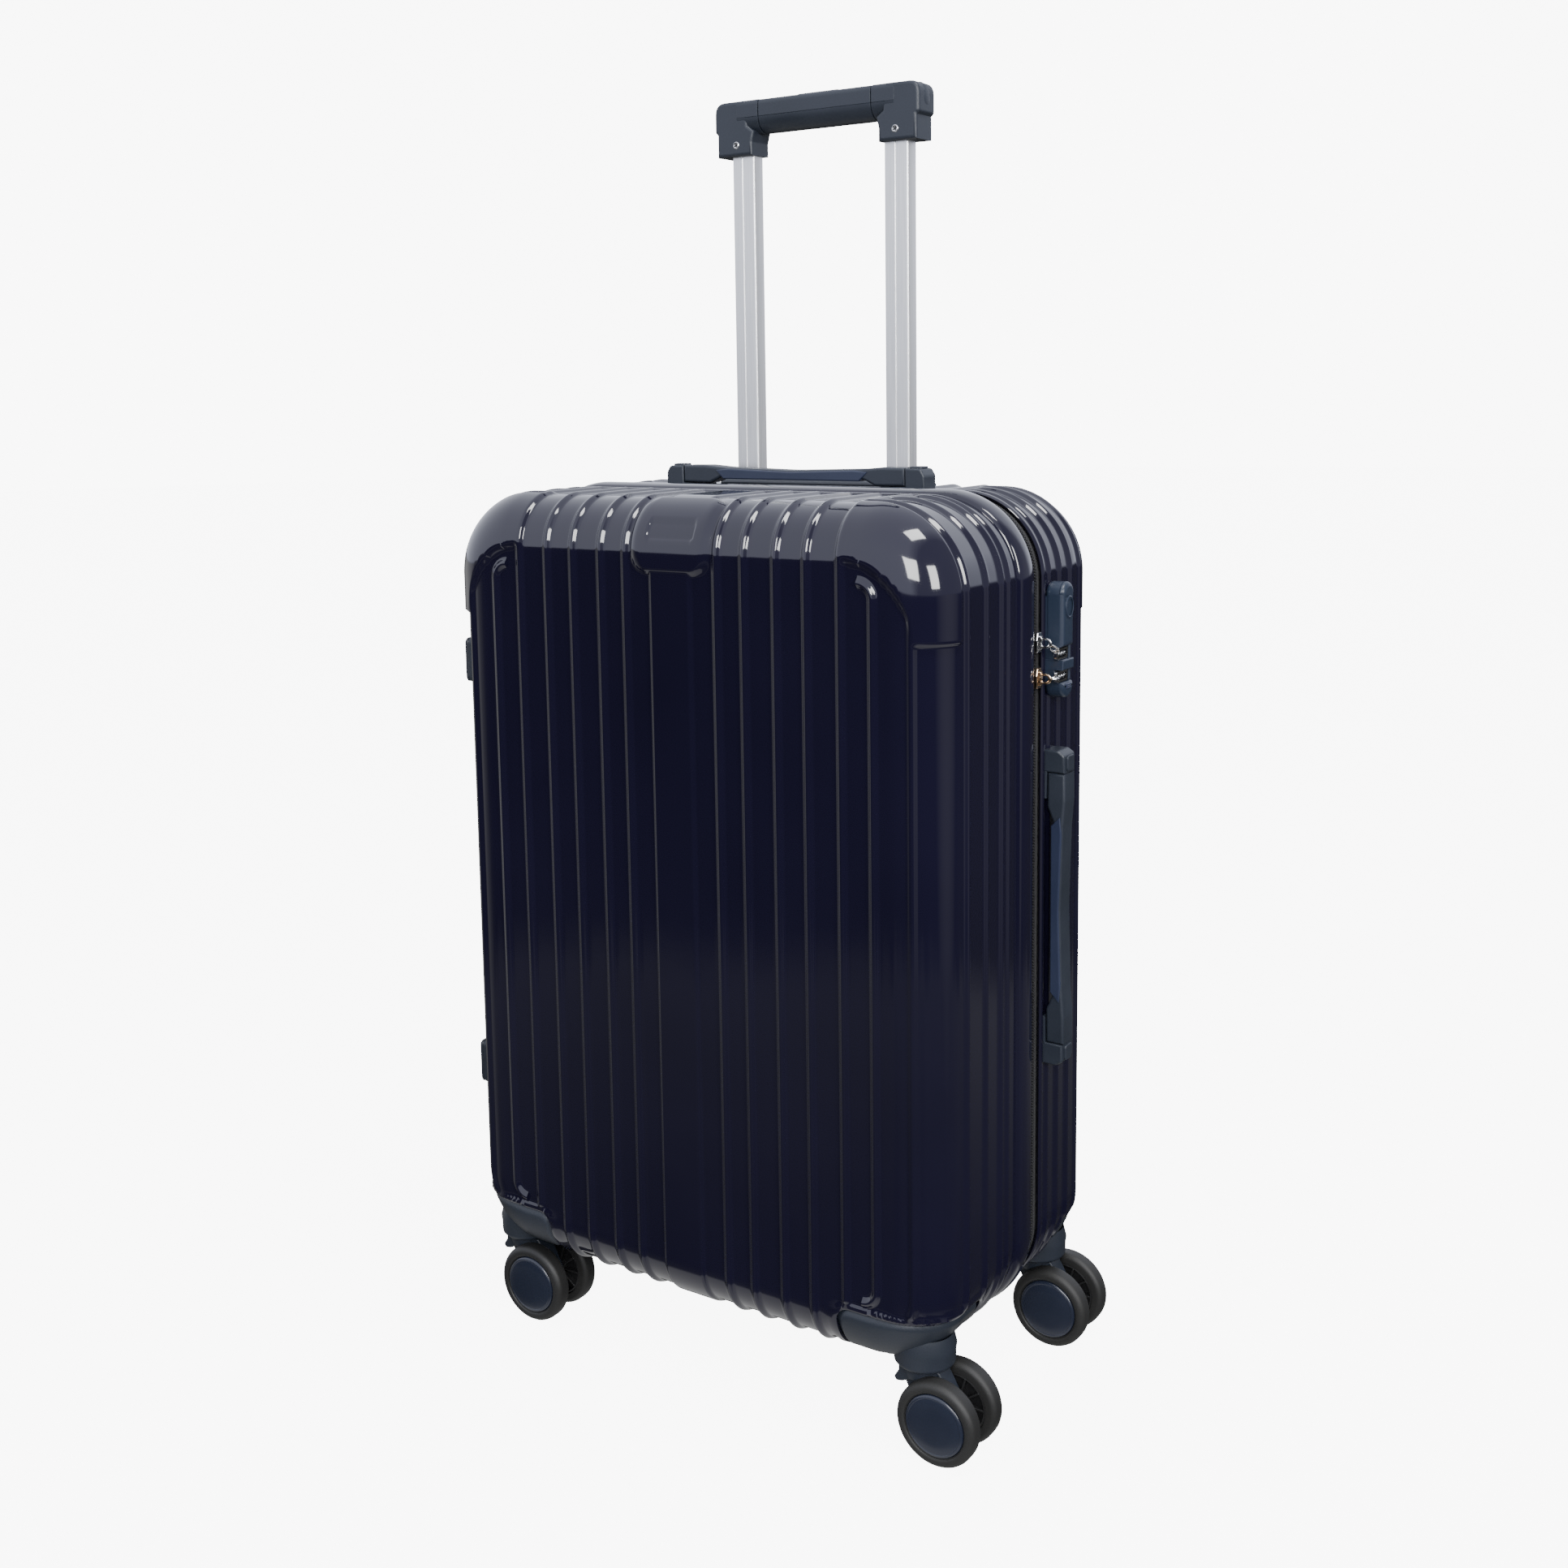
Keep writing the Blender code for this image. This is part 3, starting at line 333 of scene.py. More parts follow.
def turned(profile, steps=48):
    """(radius, height) points turned about Z."""
    turns = [2 * math.pi * k / steps for k in range(steps)]
    points = [(r * math.cos(a), r * math.sin(a), z) for a in turns for r, z in profile]
    return points, grid_faces(steps, len(profile), wrap_n=True)


def inset(outline, width):
    """A closed outline moved inward by width (outline runs counter-clockwise)."""
    n = len(outline)
    out = []
    for k in range(n):
        a, b, c = (Vector(outline[i % n]) for i in (k - 1, k, k + 1))
        one, two = (b - a), (c - b)
        if one.length < 1e-9 or two.length < 1e-9:
            one = two = (c - a)
        one, two = one.normalized(), two.normalized()
        normal = Vector((-(one.y + two.y), one.x + two.x))
        normal = normal.normalized() if normal.length > 1e-9 else Vector((-one.y, one.x))
        out.append(tuple(b + normal * width / max(normal.dot(Vector((-one.y, one.x))), 0.5)))
    return out


def slab(outline, low, high, edge, steps=3):
    """An outline pulled from low to high with rounded rims; points are (u, v, w)."""
    area = sum(a[0] * b[1] - b[0] * a[1] for a, b in zip(outline, outline[1:] + outline[:1]))
    outline = outline if area > 0 else outline[::-1]
    turns = [(edge * (1 - math.cos(a)), edge * (1 - math.sin(a)))
             for a in (math.pi / 2 * k / steps for k in range(steps, -1, -1))]
    levels = [(i, low + h) for i, h in turns] + [(i, high - h) for i, h in turns[::-1]]
    rings = [(inset(outline, inward) if inward > 1e-9 else outline, w) for inward, w in levels]
    points, n = [(u, v, w) for ring, w in rings for u, v in ring], len(outline)
    sides = [f[::-1] for f in grid_faces(len(levels), n, wrap_m=True)]
    bottom, top = list(range(n))[::-1], list(range(n * (len(levels) - 1), n * len(levels)))
    return points, sides + [bottom, top]


def along_y(u, v, w):
    return (u, w, v)


def along_x(u, v, w):
    return (w, u, v)


def shifted(x, y, z):
    return lambda u, v, w: (u + x, v + y, w + z)


def spun(angle):
    """A way that turns a part about its own w axis."""
    c, s = math.cos(angle), math.sin(angle)
    return lambda u, v, w: (u * c - v * s, u * s + v * c, w)


# ---------------------------------------------------------------- the shell surface
def smooth(t):
    t = np.clip(t, 0.0, 1.0)
    return t * t * (3 - 2 * t)


def ridge(d, half=BEAD_HALF, high=BEAD_HIGH):
    """Rounded ridge with soft feet; d is the distance from its crest line."""
    return np.where(np.abs(d) < half, high * 0.5 * (1 + np.cos(np.pi * np.clip(d / half, -1, 1))), 0.0)


def box_field(a, b, ca, cb, ha, hb, r):
    """Signed distance to a rounded rectangle, negative inside."""
    qa, qb = np.abs(a - ca) - (ha - r), np.abs(b - cb) - (hb - r)
    return np.hypot(np.maximum(qa, 0), np.maximum(qb, 0)) + np.minimum(np.maximum(qa, qb), 0) - r


def samples(low, high, step, marks=(), fine=0.0010, reach=0.0050):
    """Rising values from low to high, step apart and closer round each mark."""
    values = list(np.linspace(low, high, max(2, int(round((high - low) / step)) + 1)))
    count = int(round(reach / fine))
    for m in marks:
        values += [m + k * fine for k in range(-count, count + 1)]
    kept = [low]
    for v in sorted(values):
        if low + 0.6 * fine < v < high - 0.6 * fine and v - kept[-1] > 0.6 * fine:
            kept.append(v)
    return np.array(kept + [high])


def clipped(points, field, quads):
    """The part of a quad mesh where field > 0, with a clean cut line."""
    inside = field > 0
    count = inside[quads].sum(1)
    faces = quads[count == 4].tolist()
    extra, cuts = [], {}
    for quad in quads[(count > 0) & (count < 4)]:
        ring = []
        for a, b in zip(quad, np.roll(quad, -1)):
            if inside[a]:
                ring.append(int(a))
            if inside[a] != inside[b]:
                key = (min(a, b), max(a, b))
                if key not in cuts:
                    t = field[a] / (field[a] - field[b])
                    cuts[key] = len(points) + len(extra)
                    extra.append(points[a] * (1 - t) + points[b] * t)
                ring.append(cuts[key])
        if len(ring) > 2:
            faces.append(ring)
    return (np.vstack([points, np.array(extra)]) if extra else points), faces


class Half:
    """One half of the case: y below is the distance out from the zipper plane."""

    def __init__(self, front):
        self.front = front
        self.sign = -1.0 if front else 1.0
        self.depth = DEPTH_FRONT if front else DEPTH_REAR
        self.side_beads = (0.1045, 0.0772, 0.0547) if front else (0.0735, 0.0555, 0.0375)
        self.ledge = LEDGE_Y if front else 0.0205
        self.house_y = 0.0740 if front else 0.0500
        self.rim = (0.0185, 0.0120, 0.0044) if front else (0.0100, 0.0032, 0.0020)

    def q_of(self, y):
        """Distance along a spoke of the place y out from the zipper plane."""
        start = self.depth - EDGE
        if y >= start:
            return FLAT + EDGE * math.acos(max(-1.0, min(1.0, (y - start) / EDGE)))
        return FLAT + ARC + start - y

    def surface(self, px, pz, dx, dz, q):
        """Points and normals on the plain form, q along spokes from (px, pz)."""
        a = np.clip((q - FLAT) / EDGE, 0, math.pi / 2)
        out = np.minimum(q, FLAT) + EDGE * np.sin(a)
        y = self.depth - EDGE + EDGE * np.cos(a) - np.maximum(q - FLAT - ARC, 0)
        return (px + dx * out, y, pz + dz * out), (dx * np.sin(a), np.cos(a), dz * np.sin(a))

    def house_field(self, x, y, z):
        """Distance from the wheel housing's opening, negative inside it."""
        r = HOUSE_ROUND
        v = np.stack([HOUSE_X - np.abs(x) + r, z - HOUSE_TOP + r, self.house_y - y + r])
        return np.sqrt((np.maximum(v, 0) ** 2).sum(0)) + np.minimum(v.max(0), 0) - r

    def relief_middle(self, x, y, z, s):
        """Height between the corners; s runs along the section from bottom to top."""
        ax = np.abs(x)
        run = smooth((y - self.ledge + 0.0015) / 0.003)
        if not self.front:
            run = np.where((ax < 0.096) & (z > 0.4), smooth((y - 0.0850) / 0.007), run)
        h = np.zeros_like(x)
        for c in BEADS_X:
            h = np.maximum(h, ridge(ax - c) * run)
        h = np.maximum(h, smooth((BAND + 0.0014 - ax) / 0.0028) * 0.0021 * run)
        if self.front:
            pad = box_field(ax, s, 0.0, 0.6322, 0.0350, 0.0337, 0.017)
            h = np.maximum(h, smooth(-pad / 0.0060) * 0.0034)
            frame_line = box_field(x, s, 0.0006, 0.6300, 0.0203, 0.0066, 0.0030)
            h = h - smooth(-frame_line / 0.0010) * 0.0014
        for yb, end in zip(self.side_beads, (0.1280, 0.1335, 0.1390)):
            h = np.maximum(h, ridge(y - yb) * smooth((ax - end) / 0.010))
        return h

    def relief_side(self, x, y, z, q):
        """Height round the corners and down the sides."""
        h = np.zeros_like(x)
        for c in BEADS_OUT:
            out = c - SEAM_X
            last = out if out < FLAT else FLAT + EDGE * math.asin((out - FLAT) / EDGE)
            h = np.maximum(h, ridge(q - last))
        for yb in self.side_beads:
            h = np.maximum(h, ridge(y - yb))
        first = self.side_beads[0]
        sunk = smooth((q - last - 0.0045) / 0.003) * smooth((y - first - 0.0045) / 0.003)
        h = h - 0.0011 * sunk
        if not self.front:
            outline = box_field(y, z, 0.0251, 0.4875, 0.0088, 0.0225, 0.0030)
            h = h - np.where(x > 0.19, smooth(-outline / 0.0013) * 0.0009, 0.0)
        return h

    def relief(self, middle, x, y, z, q, s):
        """Height above the plain form, and the field of the openings."""
        ax = np.abs(x)
        h = self.relief_middle(x, y, z, s) if middle else self.relief_side(x, y, z, q)
        h = np.maximum(h, ridge(y - self.ledge, 0.0038, 0.0021))
        arc = np.hypot(ax - CAP_X, z - CAP_Z) - CAP_R
        cap = smooth(arc / 0.0030) * smooth((z - 0.5617) / 0.0018) * smooth((ax - 0.1325) / 0.0045)
        cap = cap * smooth((y - self.side_beads[0] - 0.0050) / 0.004)
        h = h * (1 - cap) + 0.0031 * cap
        mid, half, high = self.rim
        t = np.clip((y - mid) / half, -1, 1)
        h = np.maximum(h, high * np.sqrt(1 - t * t))
        field = self.house_field(x, y, z)
        h = h * smooth((field - 0.0010) / 0.0060)
        h = np.maximum(h, ridge(field - 0.0022, 0.0032, 0.0018))
        if not self.front:
            slot = box_field(x, y, 0.0, TUBE_Y, 0.0855, 0.0110, 0.001)
            field = np.where(z > 0.6, np.minimum(field, slot), field)
        return h, field

    def blocks(self):
        """(middle, px, pz, dx, dz, q, s, side) arrays that together cover the half."""
        end = self.q_of(RIM)
        bead_q = [self.q_of(y) for y in self.side_beads] + [self.q_of(self.ledge)]
        rim_q = [self.q_of(self.rim[0] + self.rim[1]), self.q_of(self.rim[0] - self.rim[1] * 0.6)]
        near_q = [BEADS_OUT[0] - SEAM_X, FLAT + EDGE * 0.4156, self.q_of(self.side_beads[0] + 0.008)]
        qs = samples(0.0, end, 0.0026, bead_q + rim_q + near_q, 0.0010, 0.0046)
        zs = samples(TURN_LOW, TURN_HIGH, 0.0150, (0.5625,), 0.0011, 0.0044)
        upper = samples(0.5625, TURN_HIGH, 0.0018)
        zs = np.array(sorted(set([z for z in zs if z < 0.5628] + list(upper[1:]))))
        marks = [s * c for s in (-1, 1) for c in BEADS_X + (BAND,)]
        xs = samples(-SEAM_X, SEAM_X, 0.0036, marks, 0.0010, 0.0046)
        rows = [(TURN_LOW, -1.0, q) for q in qs[::-1]] + [(z, 1.0, 0.0) for z in zs[1:-1]]
        rows += [(TURN_HIGH, 1.0, q) for q in qs]
        pz, dz, q = (np.broadcast_to(np.array(v), (len(xs), len(rows))) for v in zip(*rows))
        px = np.broadcast_to(xs[:, None], pz.shape)
        yield True, px, pz, np.zeros_like(px), dz, q, pz + dz * q, 1.0
        turn = [math.pi / 2 * k / 34 for k in range(35)]
        spokes = [(TURN_HIGH, a) for a in turn[::-1]] + [(z, 0.0) for z in zs[-2:0:-1]]
        spokes += [(TURN_LOW, -a) for a in turn]
        pz, angle = (np.array(v)[:, None] for v in zip(*spokes))
        q = np.broadcast_to(qs, (len(spokes), len(qs)))
        pz, angle = np.broadcast_to(pz, q.shape), np.broadcast_to(angle, q.shape)
        for side in (1.0, -1.0):
            yield False, np.full(q.shape, SEAM_X), pz, np.cos(angle), np.sin(angle), q, q, side

    def skin(self, name, body):
        """The half's outer skin, with a wall's depth turned in at every open edge."""
        parts = []
        for middle, px, pz, dx, dz, q, s, side in self.blocks():
            (x, y, z), (nx, ny, nz) = self.surface(px, pz, dx, dz, q)
            x = x * side
            h, field = self.relief(middle, x, y, z, q, s)
            points = np.stack([x + nx * side * h, self.sign * (y + ny * h), z + nz * h], -1).reshape(-1, 3)
            parts.append(clipped(points, field.reshape(-1), quads_of(*x.shape)))
        points, faces = joined(*parts)
        mesh = bpy.data.meshes.new(name)
        mesh.from_pydata((points + np.array((OX, OY, 0.0))).tolist(), [], faces)
        bm = bmesh.new()
        bm.from_mesh(mesh)
        bmesh.ops.remove_doubles(bm, verts=bm.verts, dist=0.00003)
        bmesh.ops.recalc_face_normals(bm, faces=bm.faces)
        bm.normal_update()
        edge = [e for e in bm.edges if e.is_boundary]
        normals = {v: v.normal.copy() for e in edge for v in e.verts}
        made = bmesh.ops.extrude_edge_only(bm, edges=edge)["geom"]
        at_place = {tuple(round(c, 7) for c in v.co): n for v, n in normals.items()}
        for v in (g for g in made if isinstance(g, bmesh.types.BMVert)):
            v.co -= at_place[tuple(round(c, 7) for c in v.co)] * WALL
        bm.to_mesh(mesh)
        bm.free()
        return place(name, mesh, SHELL, body, "shell", (name.replace("_skin", ""),), 50.0)


def shells():
    Half(True).skin("front_shell_skin", "lid")
    Half(False).skin("rear_shell_skin", "case")


# ---------------------------------------------------------------- zipper, linings, strap
def zipper_path(step):
    """(x, z, outward angle) along the zipper, from the hinge side's top round to its bottom."""
    x, lo, hi = SEAM_X, TURN_LOW, TURN_HIGH
    runs = [((-x, hi), 135, 90), ((-x, hi), (x, hi), 90), ((x, hi), 90, 0), ((x, hi), (x, lo), 0),
            ((x, lo), 0, -90), ((x, lo), (-x, lo), -90), ((-x, lo), -90, -135)]
    out = []
    for run in runs:
        if isinstance(run[1], tuple):
            (x0, z0), (x1, z1), a = run
            count = max(1, int(math.dist(run[0], run[1]) / step))
            out += [(x0 + (x1 - x0) * k / count, z0 + (z1 - z0) * k / count, math.radians(a))
                    for k in range(count)]
        else:
            (px, pz), a0, a1 = run
            count = max(1, int(math.radians(abs(a1 - a0)) * CORNER / step))
            out += [(px, pz, math.radians(a0 + (a1 - a0) * k / count)) for k in range(count)]
    return out + [(-x, lo, math.radians(-135))]


def swept(section, step):
    """A closed (outward, y) section swept along the zipper's path."""
    path = zipper_path(step)
    points = [(px + (CORNER + o) * math.cos(a), y, pz + (CORNER + o) * math.sin(a))
              for px, pz, a in path for o, y in section]
    n = len(section)
    faces = grid_faces(len(path), n, wrap_m=True)
    faces += [list(range(n)), list(range(n * (len(path) - 1), n * len(path)))[::-1]]
    return points, faces


def zipper():
    """Woven tape and coil on each half; the two coils mesh on the zipper plane."""
    profile = [(-0.0040, 0.0160), (-0.0030, 0.0160), (-0.0026, 0.0080), (-0.0012, 0.0060),
               (-0.0010, 0.0018), (-0.0022, 0.0006), (-0.0040, 0.0006)]
    pitch, off_plane, slip = 0.0021, 0.00105, 0.0005
    thick, long, tall = 0.00055, 0.0013, 0.00075
    tooth = [(thick * math.sin(t) * math.cos(a), -math.cos(t) * long, tall * math.sin(t) * math.sin(a))
             for t in (math.pi * ring / 4 for ring in range(5)) for a in (math.pi / 3 * k for k in range(6))]
    tooth_faces = grid_faces(5, 6, wrap_m=True)
    for side, body, name in ((-1, "lid", "front"), (1, "case", "rear")):
        tape = swept([(out, side * y) for out, y in profile], 0.004)
        band = piece(name + "_zipper_band", tape, TAPE, body, "zipper", (name + "_zipper_tape",))
        parts = []
        for px, pz, a in zipper_path(pitch):
            c, s = math.cos(a), math.sin(a)
            ox, oz = px + (CORNER - 0.0007) * c, pz + (CORNER - 0.0007) * s
            points = [(ox + u * c - (w + side * slip) * s, v + side * off_plane,
                       oz + u * s + (w + side * slip) * c) for u, v, w in tooth]
            parts.append((points, tooth_faces))
        piece(name + "_zipper_coil", joined(*parts), COIL, body, "zipper", sharp=0, weld=False)


def tray_sheet(depth, corner, edge, half, low, high, rim, sign, cut):
    """A cloth tray: columns, rows and corner fans over one plain form."""
    form = Half(sign < 0)
    flat, arc = corner - edge, edge * math.pi / 2
    end = flat + arc + depth - edge - rim
    qs = np.concatenate([np.linspace(0, flat, 3)[:-1], np.linspace(flat, flat + arc, 9)[:-1],
                         np.linspace(flat + arc, end, 12)])
    xs = np.linspace(-(half - corner), half - corner, 40)
    zs = np.linspace(low + corner, high - corner, 60)
    rows = [(zs[0], -1.0, q) for q in qs[::-1]] + [(z, 1.0, 0.0) for z in zs[1:-1]]
    rows += [(zs[-1], 1.0, q) for q in qs]
    turn = [math.pi / 2 * k / 14 for k in range(15)]
    spokes = [(zs[-1], a) for a in turn[::-1]] + [(z, 0.0) for z in zs[-2:0:-1]]
    spokes += [(zs[0], -a) for a in turn]
    parts = []
    for side in (0, 1, -1):
        if side == 0:
            pz, dz, q = (np.broadcast_to(np.array(v), (len(xs), len(rows))) for v in zip(*rows))
            px, dx = np.broadcast_to(xs[:, None], pz.shape), np.zeros(pz.shape)
        else:
            pz, angle = (np.broadcast_to(np.array(v)[:, None], (len(spokes), len(qs))) for v in zip(*spokes))
            q, px = np.broadcast_to(qs, pz.shape), np.full(pz.shape, half - corner)
            dx, dz = np.cos(angle), np.sin(angle)
        a = np.clip((q - flat) / edge, 0, math.pi / 2)
        out = np.minimum(q, flat) + edge * np.sin(a)
        y = depth - edge + edge * np.cos(a) - np.maximum(q - flat - arc, 0)
        x, z = (px + dx * out) * (side or 1), pz + dz * out
        sag = 0.0006 * np.sin(x * 61 + z * 23) * np.sin(z * 47 - x * 19) * np.clip(q / 0.02 + 0.4, 0, 1)
        points = np.stack([x, sign * (y + sag - 0.0006), z], -1).reshape(-1, 3)
        field = (form.house_field(x, y, z) - 0.0015 if cut else np.ones(x.shape)).reshape(-1)
        parts.append(clipped(points, field, quads_of(*x.shape)))
    return joined(*parts)


def linings():
    """Woven lining trays, with an open rim under the zipper tape."""
    drop, rim = 0.0047, 0.0182
    for name, sign, depth, edge, body, cut, flat, area in (
            ("front", -1, DEPTH_FRONT - drop, 0.0335, "lid", True, (0.60, 0.77), 0.417),
            ("rear", 1, 0.0484, 0.0075, "case", False, (0.47, 0.64), 0.286)):
        tray = tray_sheet(depth, CORNER - drop, edge, HALF_W - drop, Z_LOW + drop, Z_TOP - drop,
                          rim, sign, cut)
        sheet = piece(name + "_lining_cloth", tray, CLOTH, body, "lining", (name + "_lining",), 60.0)


def thickened(sheet, thickness, offset=-1.0):
    mod = sheet.modifiers.new("cloth", "SOLIDIFY")
    mod.thickness = thickness
    mod.offset = offset


def hinge_strip():
    """Cloth hinge on the -X side; it rides on the rear half."""
    x = -(HALF_W + 0.0030)
    ys, zs = np.linspace(-0.0058, 0.0058, 9), np.linspace(0.1350, 0.5770, 90)
    points = [(x + 0.0004 * math.cos(y * 400), y, z) for y in ys for z in zs]
    sheet = piece("hinge_cloth", (points, grid_faces(len(ys), len(zs))), WEBBING, "case", "lining",
                  ("hinge_tape",))
    thickened(sheet, 0.0010, 0.0)


def packing_strap():
    """Elastic strap across the back panel, with raised edges and a side-release clip."""
    middle, half, reach = 0.3550, 0.0150, 0.190
    xs, vs = np.linspace(-reach, reach, 90), np.linspace(-1, 1, 13)
    points = [(x, 0.0452 + 0.0004 * abs(v) ** 6, middle + v * half * (1 - 0.03 * math.sin(x * 40) ** 2))
              for x in xs for v in vs]
    strap = piece("elastic_strap", (points, grid_faces(len(xs), len(vs))), WEBBING, "case", "webbing",
                  ("packing_strap",))
    thickened(strap, 0.0011)
    parts = [slab(rounded(rect(-0.030, -0.019, 0.030, 0.019), 0.004), 0.0385, 0.0448, 0.0012)]
    for x in (-0.021, 0.021):
        arm = rounded(rect(x - 0.006, -0.022, x + 0.006, 0.022), 0.003)
        parts.append(slab(arm, 0.0375, 0.0435, 0.001))
    clip = mapped(joined(*parts), lambda u, v, w: (u, w, middle + v))
    piece("strap_clip", clip, BLACK, "case", "webbing")


# ---------------------------------------------------------------- wheel housings and casters
def wheel_housings():
    """Corner housings: the case's own form with a flat underside, a rounded tail and a boss."""
    under, lap = 0.0690, 0.0012
    boss = [(0.0, BOSS_Z), (0.0190, BOSS_Z), (0.0205, BOSS_Z + 0.0004), (0.0213, BOSS_Z + 0.0014),
            (0.0215, BOSS_Z + 0.0030), (0.0216, 0.0720), (0.0222, 0.0760), (0.0200, 0.0850)]
    for tag, body, y0 in (("front", "lid", SWIVEL_FRONT), ("rear", "case", SWIVEL_REAR)):
        form = Half(tag == "front")
        for side, hand in ((1, "right"), (-1, "left")):
            parts = []
            for middle, px, pz, dx, dz, q, _, way in form.blocks():
                if not middle and way != side:
                    continue
                (x, y, z), (nx, ny, nz) = form.surface(px, pz, dx, dz, q)
                x = x * way
                field = np.where(x * side > 0.1, lap - form.house_field(x, y, z), -1.0)
                lift = 0.0008 - 0.0035 * smooth(1 - field / 0.006) - 0.0006 * smooth(1 - field / 0.0015)
                height = z + nz * lift
                rise = smooth((field - lap) / 0.0045)
                level = height + np.maximum(under - height, 0) * rise
                pull = np.clip((under - height) / 0.008, 0, 1) * rise
                out = form.sign * (y + ny * lift - 0.004 * pull)
                points = np.stack([x + nx * way * lift, out, level], -1).reshape(-1, 3)
                parts.append(clipped(points, field.reshape(-1), quads_of(*x.shape)))
            parts.append(mapped(turned_over(turned(boss)), shifted(side * SWIVEL_X, y0, 0.0)))
            name = "wheel_housing_%s_%s" % (tag, hand)
            piece(name + "_skin", joined(*parts), NAVY, body, "navy_plastic", (name,), 40.0)


def fork_parts():
    """Neck under the boss, web between the wheels and hooked lip."""
    neck = [(0.0, 0.0619), (0.0146, 0.0619), (0.0150, 0.0612), (0.0150, 0.0560), (0.0138, 0.0520),
            (0.0, 0.0500)]
    web = rounded([(-0.0120, 0.0600), (-0.0125, 0.0480), (-0.0040, 0.0300), (0.0110, 0.0230),
                   (0.0190, 0.0205), (0.0270, 0.0245), (0.0285, 0.0340), (0.0200, 0.0500),
                   (0.0140, 0.0600)], 0.004)
    lip = rounded([(-0.0150, 0.0606), (-0.0152, 0.0545), (-0.0188, 0.0488), (-0.0168, 0.0462),
                   (-0.0120, 0.0470), (-0.0060, 0.0500), (0.0009, 0.0560), (0.0070, 0.0590),
                   (0.0120, 0.0606)], 0.0016)
    return joined(turned_over(turned(neck)),
                  mapped(slab(web, -0.0073, 0.0073, 0.0012), along_y),
                  mapped(slab(lip, -0.0112, 0.0112, 0.0014), along_y))


def wheel_profiles():
    """Tyre and hub sections as (radius, distance from the caster's middle plane)."""
    inner, outer, r = 0.0096, 0.0234, WHEEL_R
    tyre = [(0.0224, inner), (r - 0.0040, inner)]
    tyre += arc_points((r - 0.0040, inner + 0.0040), 0.0040, -90, 0, 6)[1:]
    tyre += arc_points((r - 0.0046, outer - 0.0046), 0.0046, 0, 90, 7)
    tyre += [(0.0236, outer), (0.0231, outer - 0.0004), (0.0228, outer - 0.0010), (0.0224, outer - 0.0011)]
    cap = [(0.0222, 0.0190), (0.0222, outer - 0.0012), (0.0218, outer - 0.0004), (0.0212, outer + 0.0001),
           (0.0200, outer + 0.0004), (0.0196, outer + 0.0002), (0.0190, outer + 0.0004),
           (0.0120, outer + 0.0010), (0.0, outer + 0.0013)]
    return tyre, cap


def wheel(tag, sign, x0, y0):
    """Tyre, cap and ribbed core of a wheel on the side of the caster that sign gives."""
    steps, ribs = 72, 10
    tyre, cap = wheel_profiles()
    n = len(tyre)
    ring, ring_faces = turned(tyre, steps)
    ring_faces += [[k * n + n - 1, k * n, (k + 1) % steps * n, (k + 1) % steps * n + n - 1]
                   for k in range(steps)]
    core = [turned([(0.0222, 0.0110), (0.0205, 0.0104), (0.0200, 0.0150), (0.0060, 0.0150),
                    (0.0056, 0.0100), (0.0034, 0.0100), (0.0034, 0.0150)])]
    rib = slab(rect(0.0050, -0.0007, 0.0203, 0.0007), 0.0106, 0.0152, 0.0002, 1)
    core += [mapped(rib, spun(2 * math.pi * k / ribs)) for k in range(ribs)]
    for name, part, mat, slot, replaces, sharp in (
            ("tyre_%s_rubber" % tag, (ring, ring_faces), RUBBER, "tyre", ("tyre_" + tag,), 40.0),
            ("wheel_cap_" + tag, turned(cap, steps), CAP, "wheel_cap", ("hub_" + tag,), 30.0),
            ("wheel_core_" + tag, joined(*core), BLACK, "black_plastic", (), 35.0)):
        part = mapped(part, lambda u, v, w: (x0 + u, y0 + sign * w, WHEEL_R + v))
        piece(name, turned_over(part, sign > 0), mat, "wheel_" + tag, slot, replaces, sharp)


def casters():
    spots = [(x, y) for y in (SWIVEL_FRONT, SWIVEL_REAR) for x in (SWIVEL_X, -SWIVEL_X)]
    rivet = turned([(0.0, 0.0014), (0.0012, 0.0013), (0.0021, 0.0007), (0.0024, 0.0), (0.0024, -0.002)], 24)
    axle = turned([(0.0, -0.0150), (0.0030, -0.0150), (0.0030, 0.0150), (0.0, 0.0150)], 24)
    for number, (x, y) in enumerate(spots, 1):
        body = "caster_%d" % number
        piece("caster_fork_%d_body" % number, mapped(fork_parts(), shifted(x, y, 0.0)), NAVY, body,
              "navy_plastic", ("caster_fork_%d" % number,), 35.0)
        piece("caster_rivet_%d" % number,
              mapped(rivet, lambda u, v, w: (x + 0.0035 + u, y - 0.0112 - w, 0.0570 + v)),
              STEEL, body, "plated")
        wheel("%da" % number, -1, x + TRAIL, y)
        wheel("%db" % number, 1, x + TRAIL, y)
        piece("axle_%d" % number, mapped(axle, lambda u, v, w: (x + TRAIL + u, y + w, WHEEL_R + v)),
              STEEL, "wheel_%da" % number, "plated")


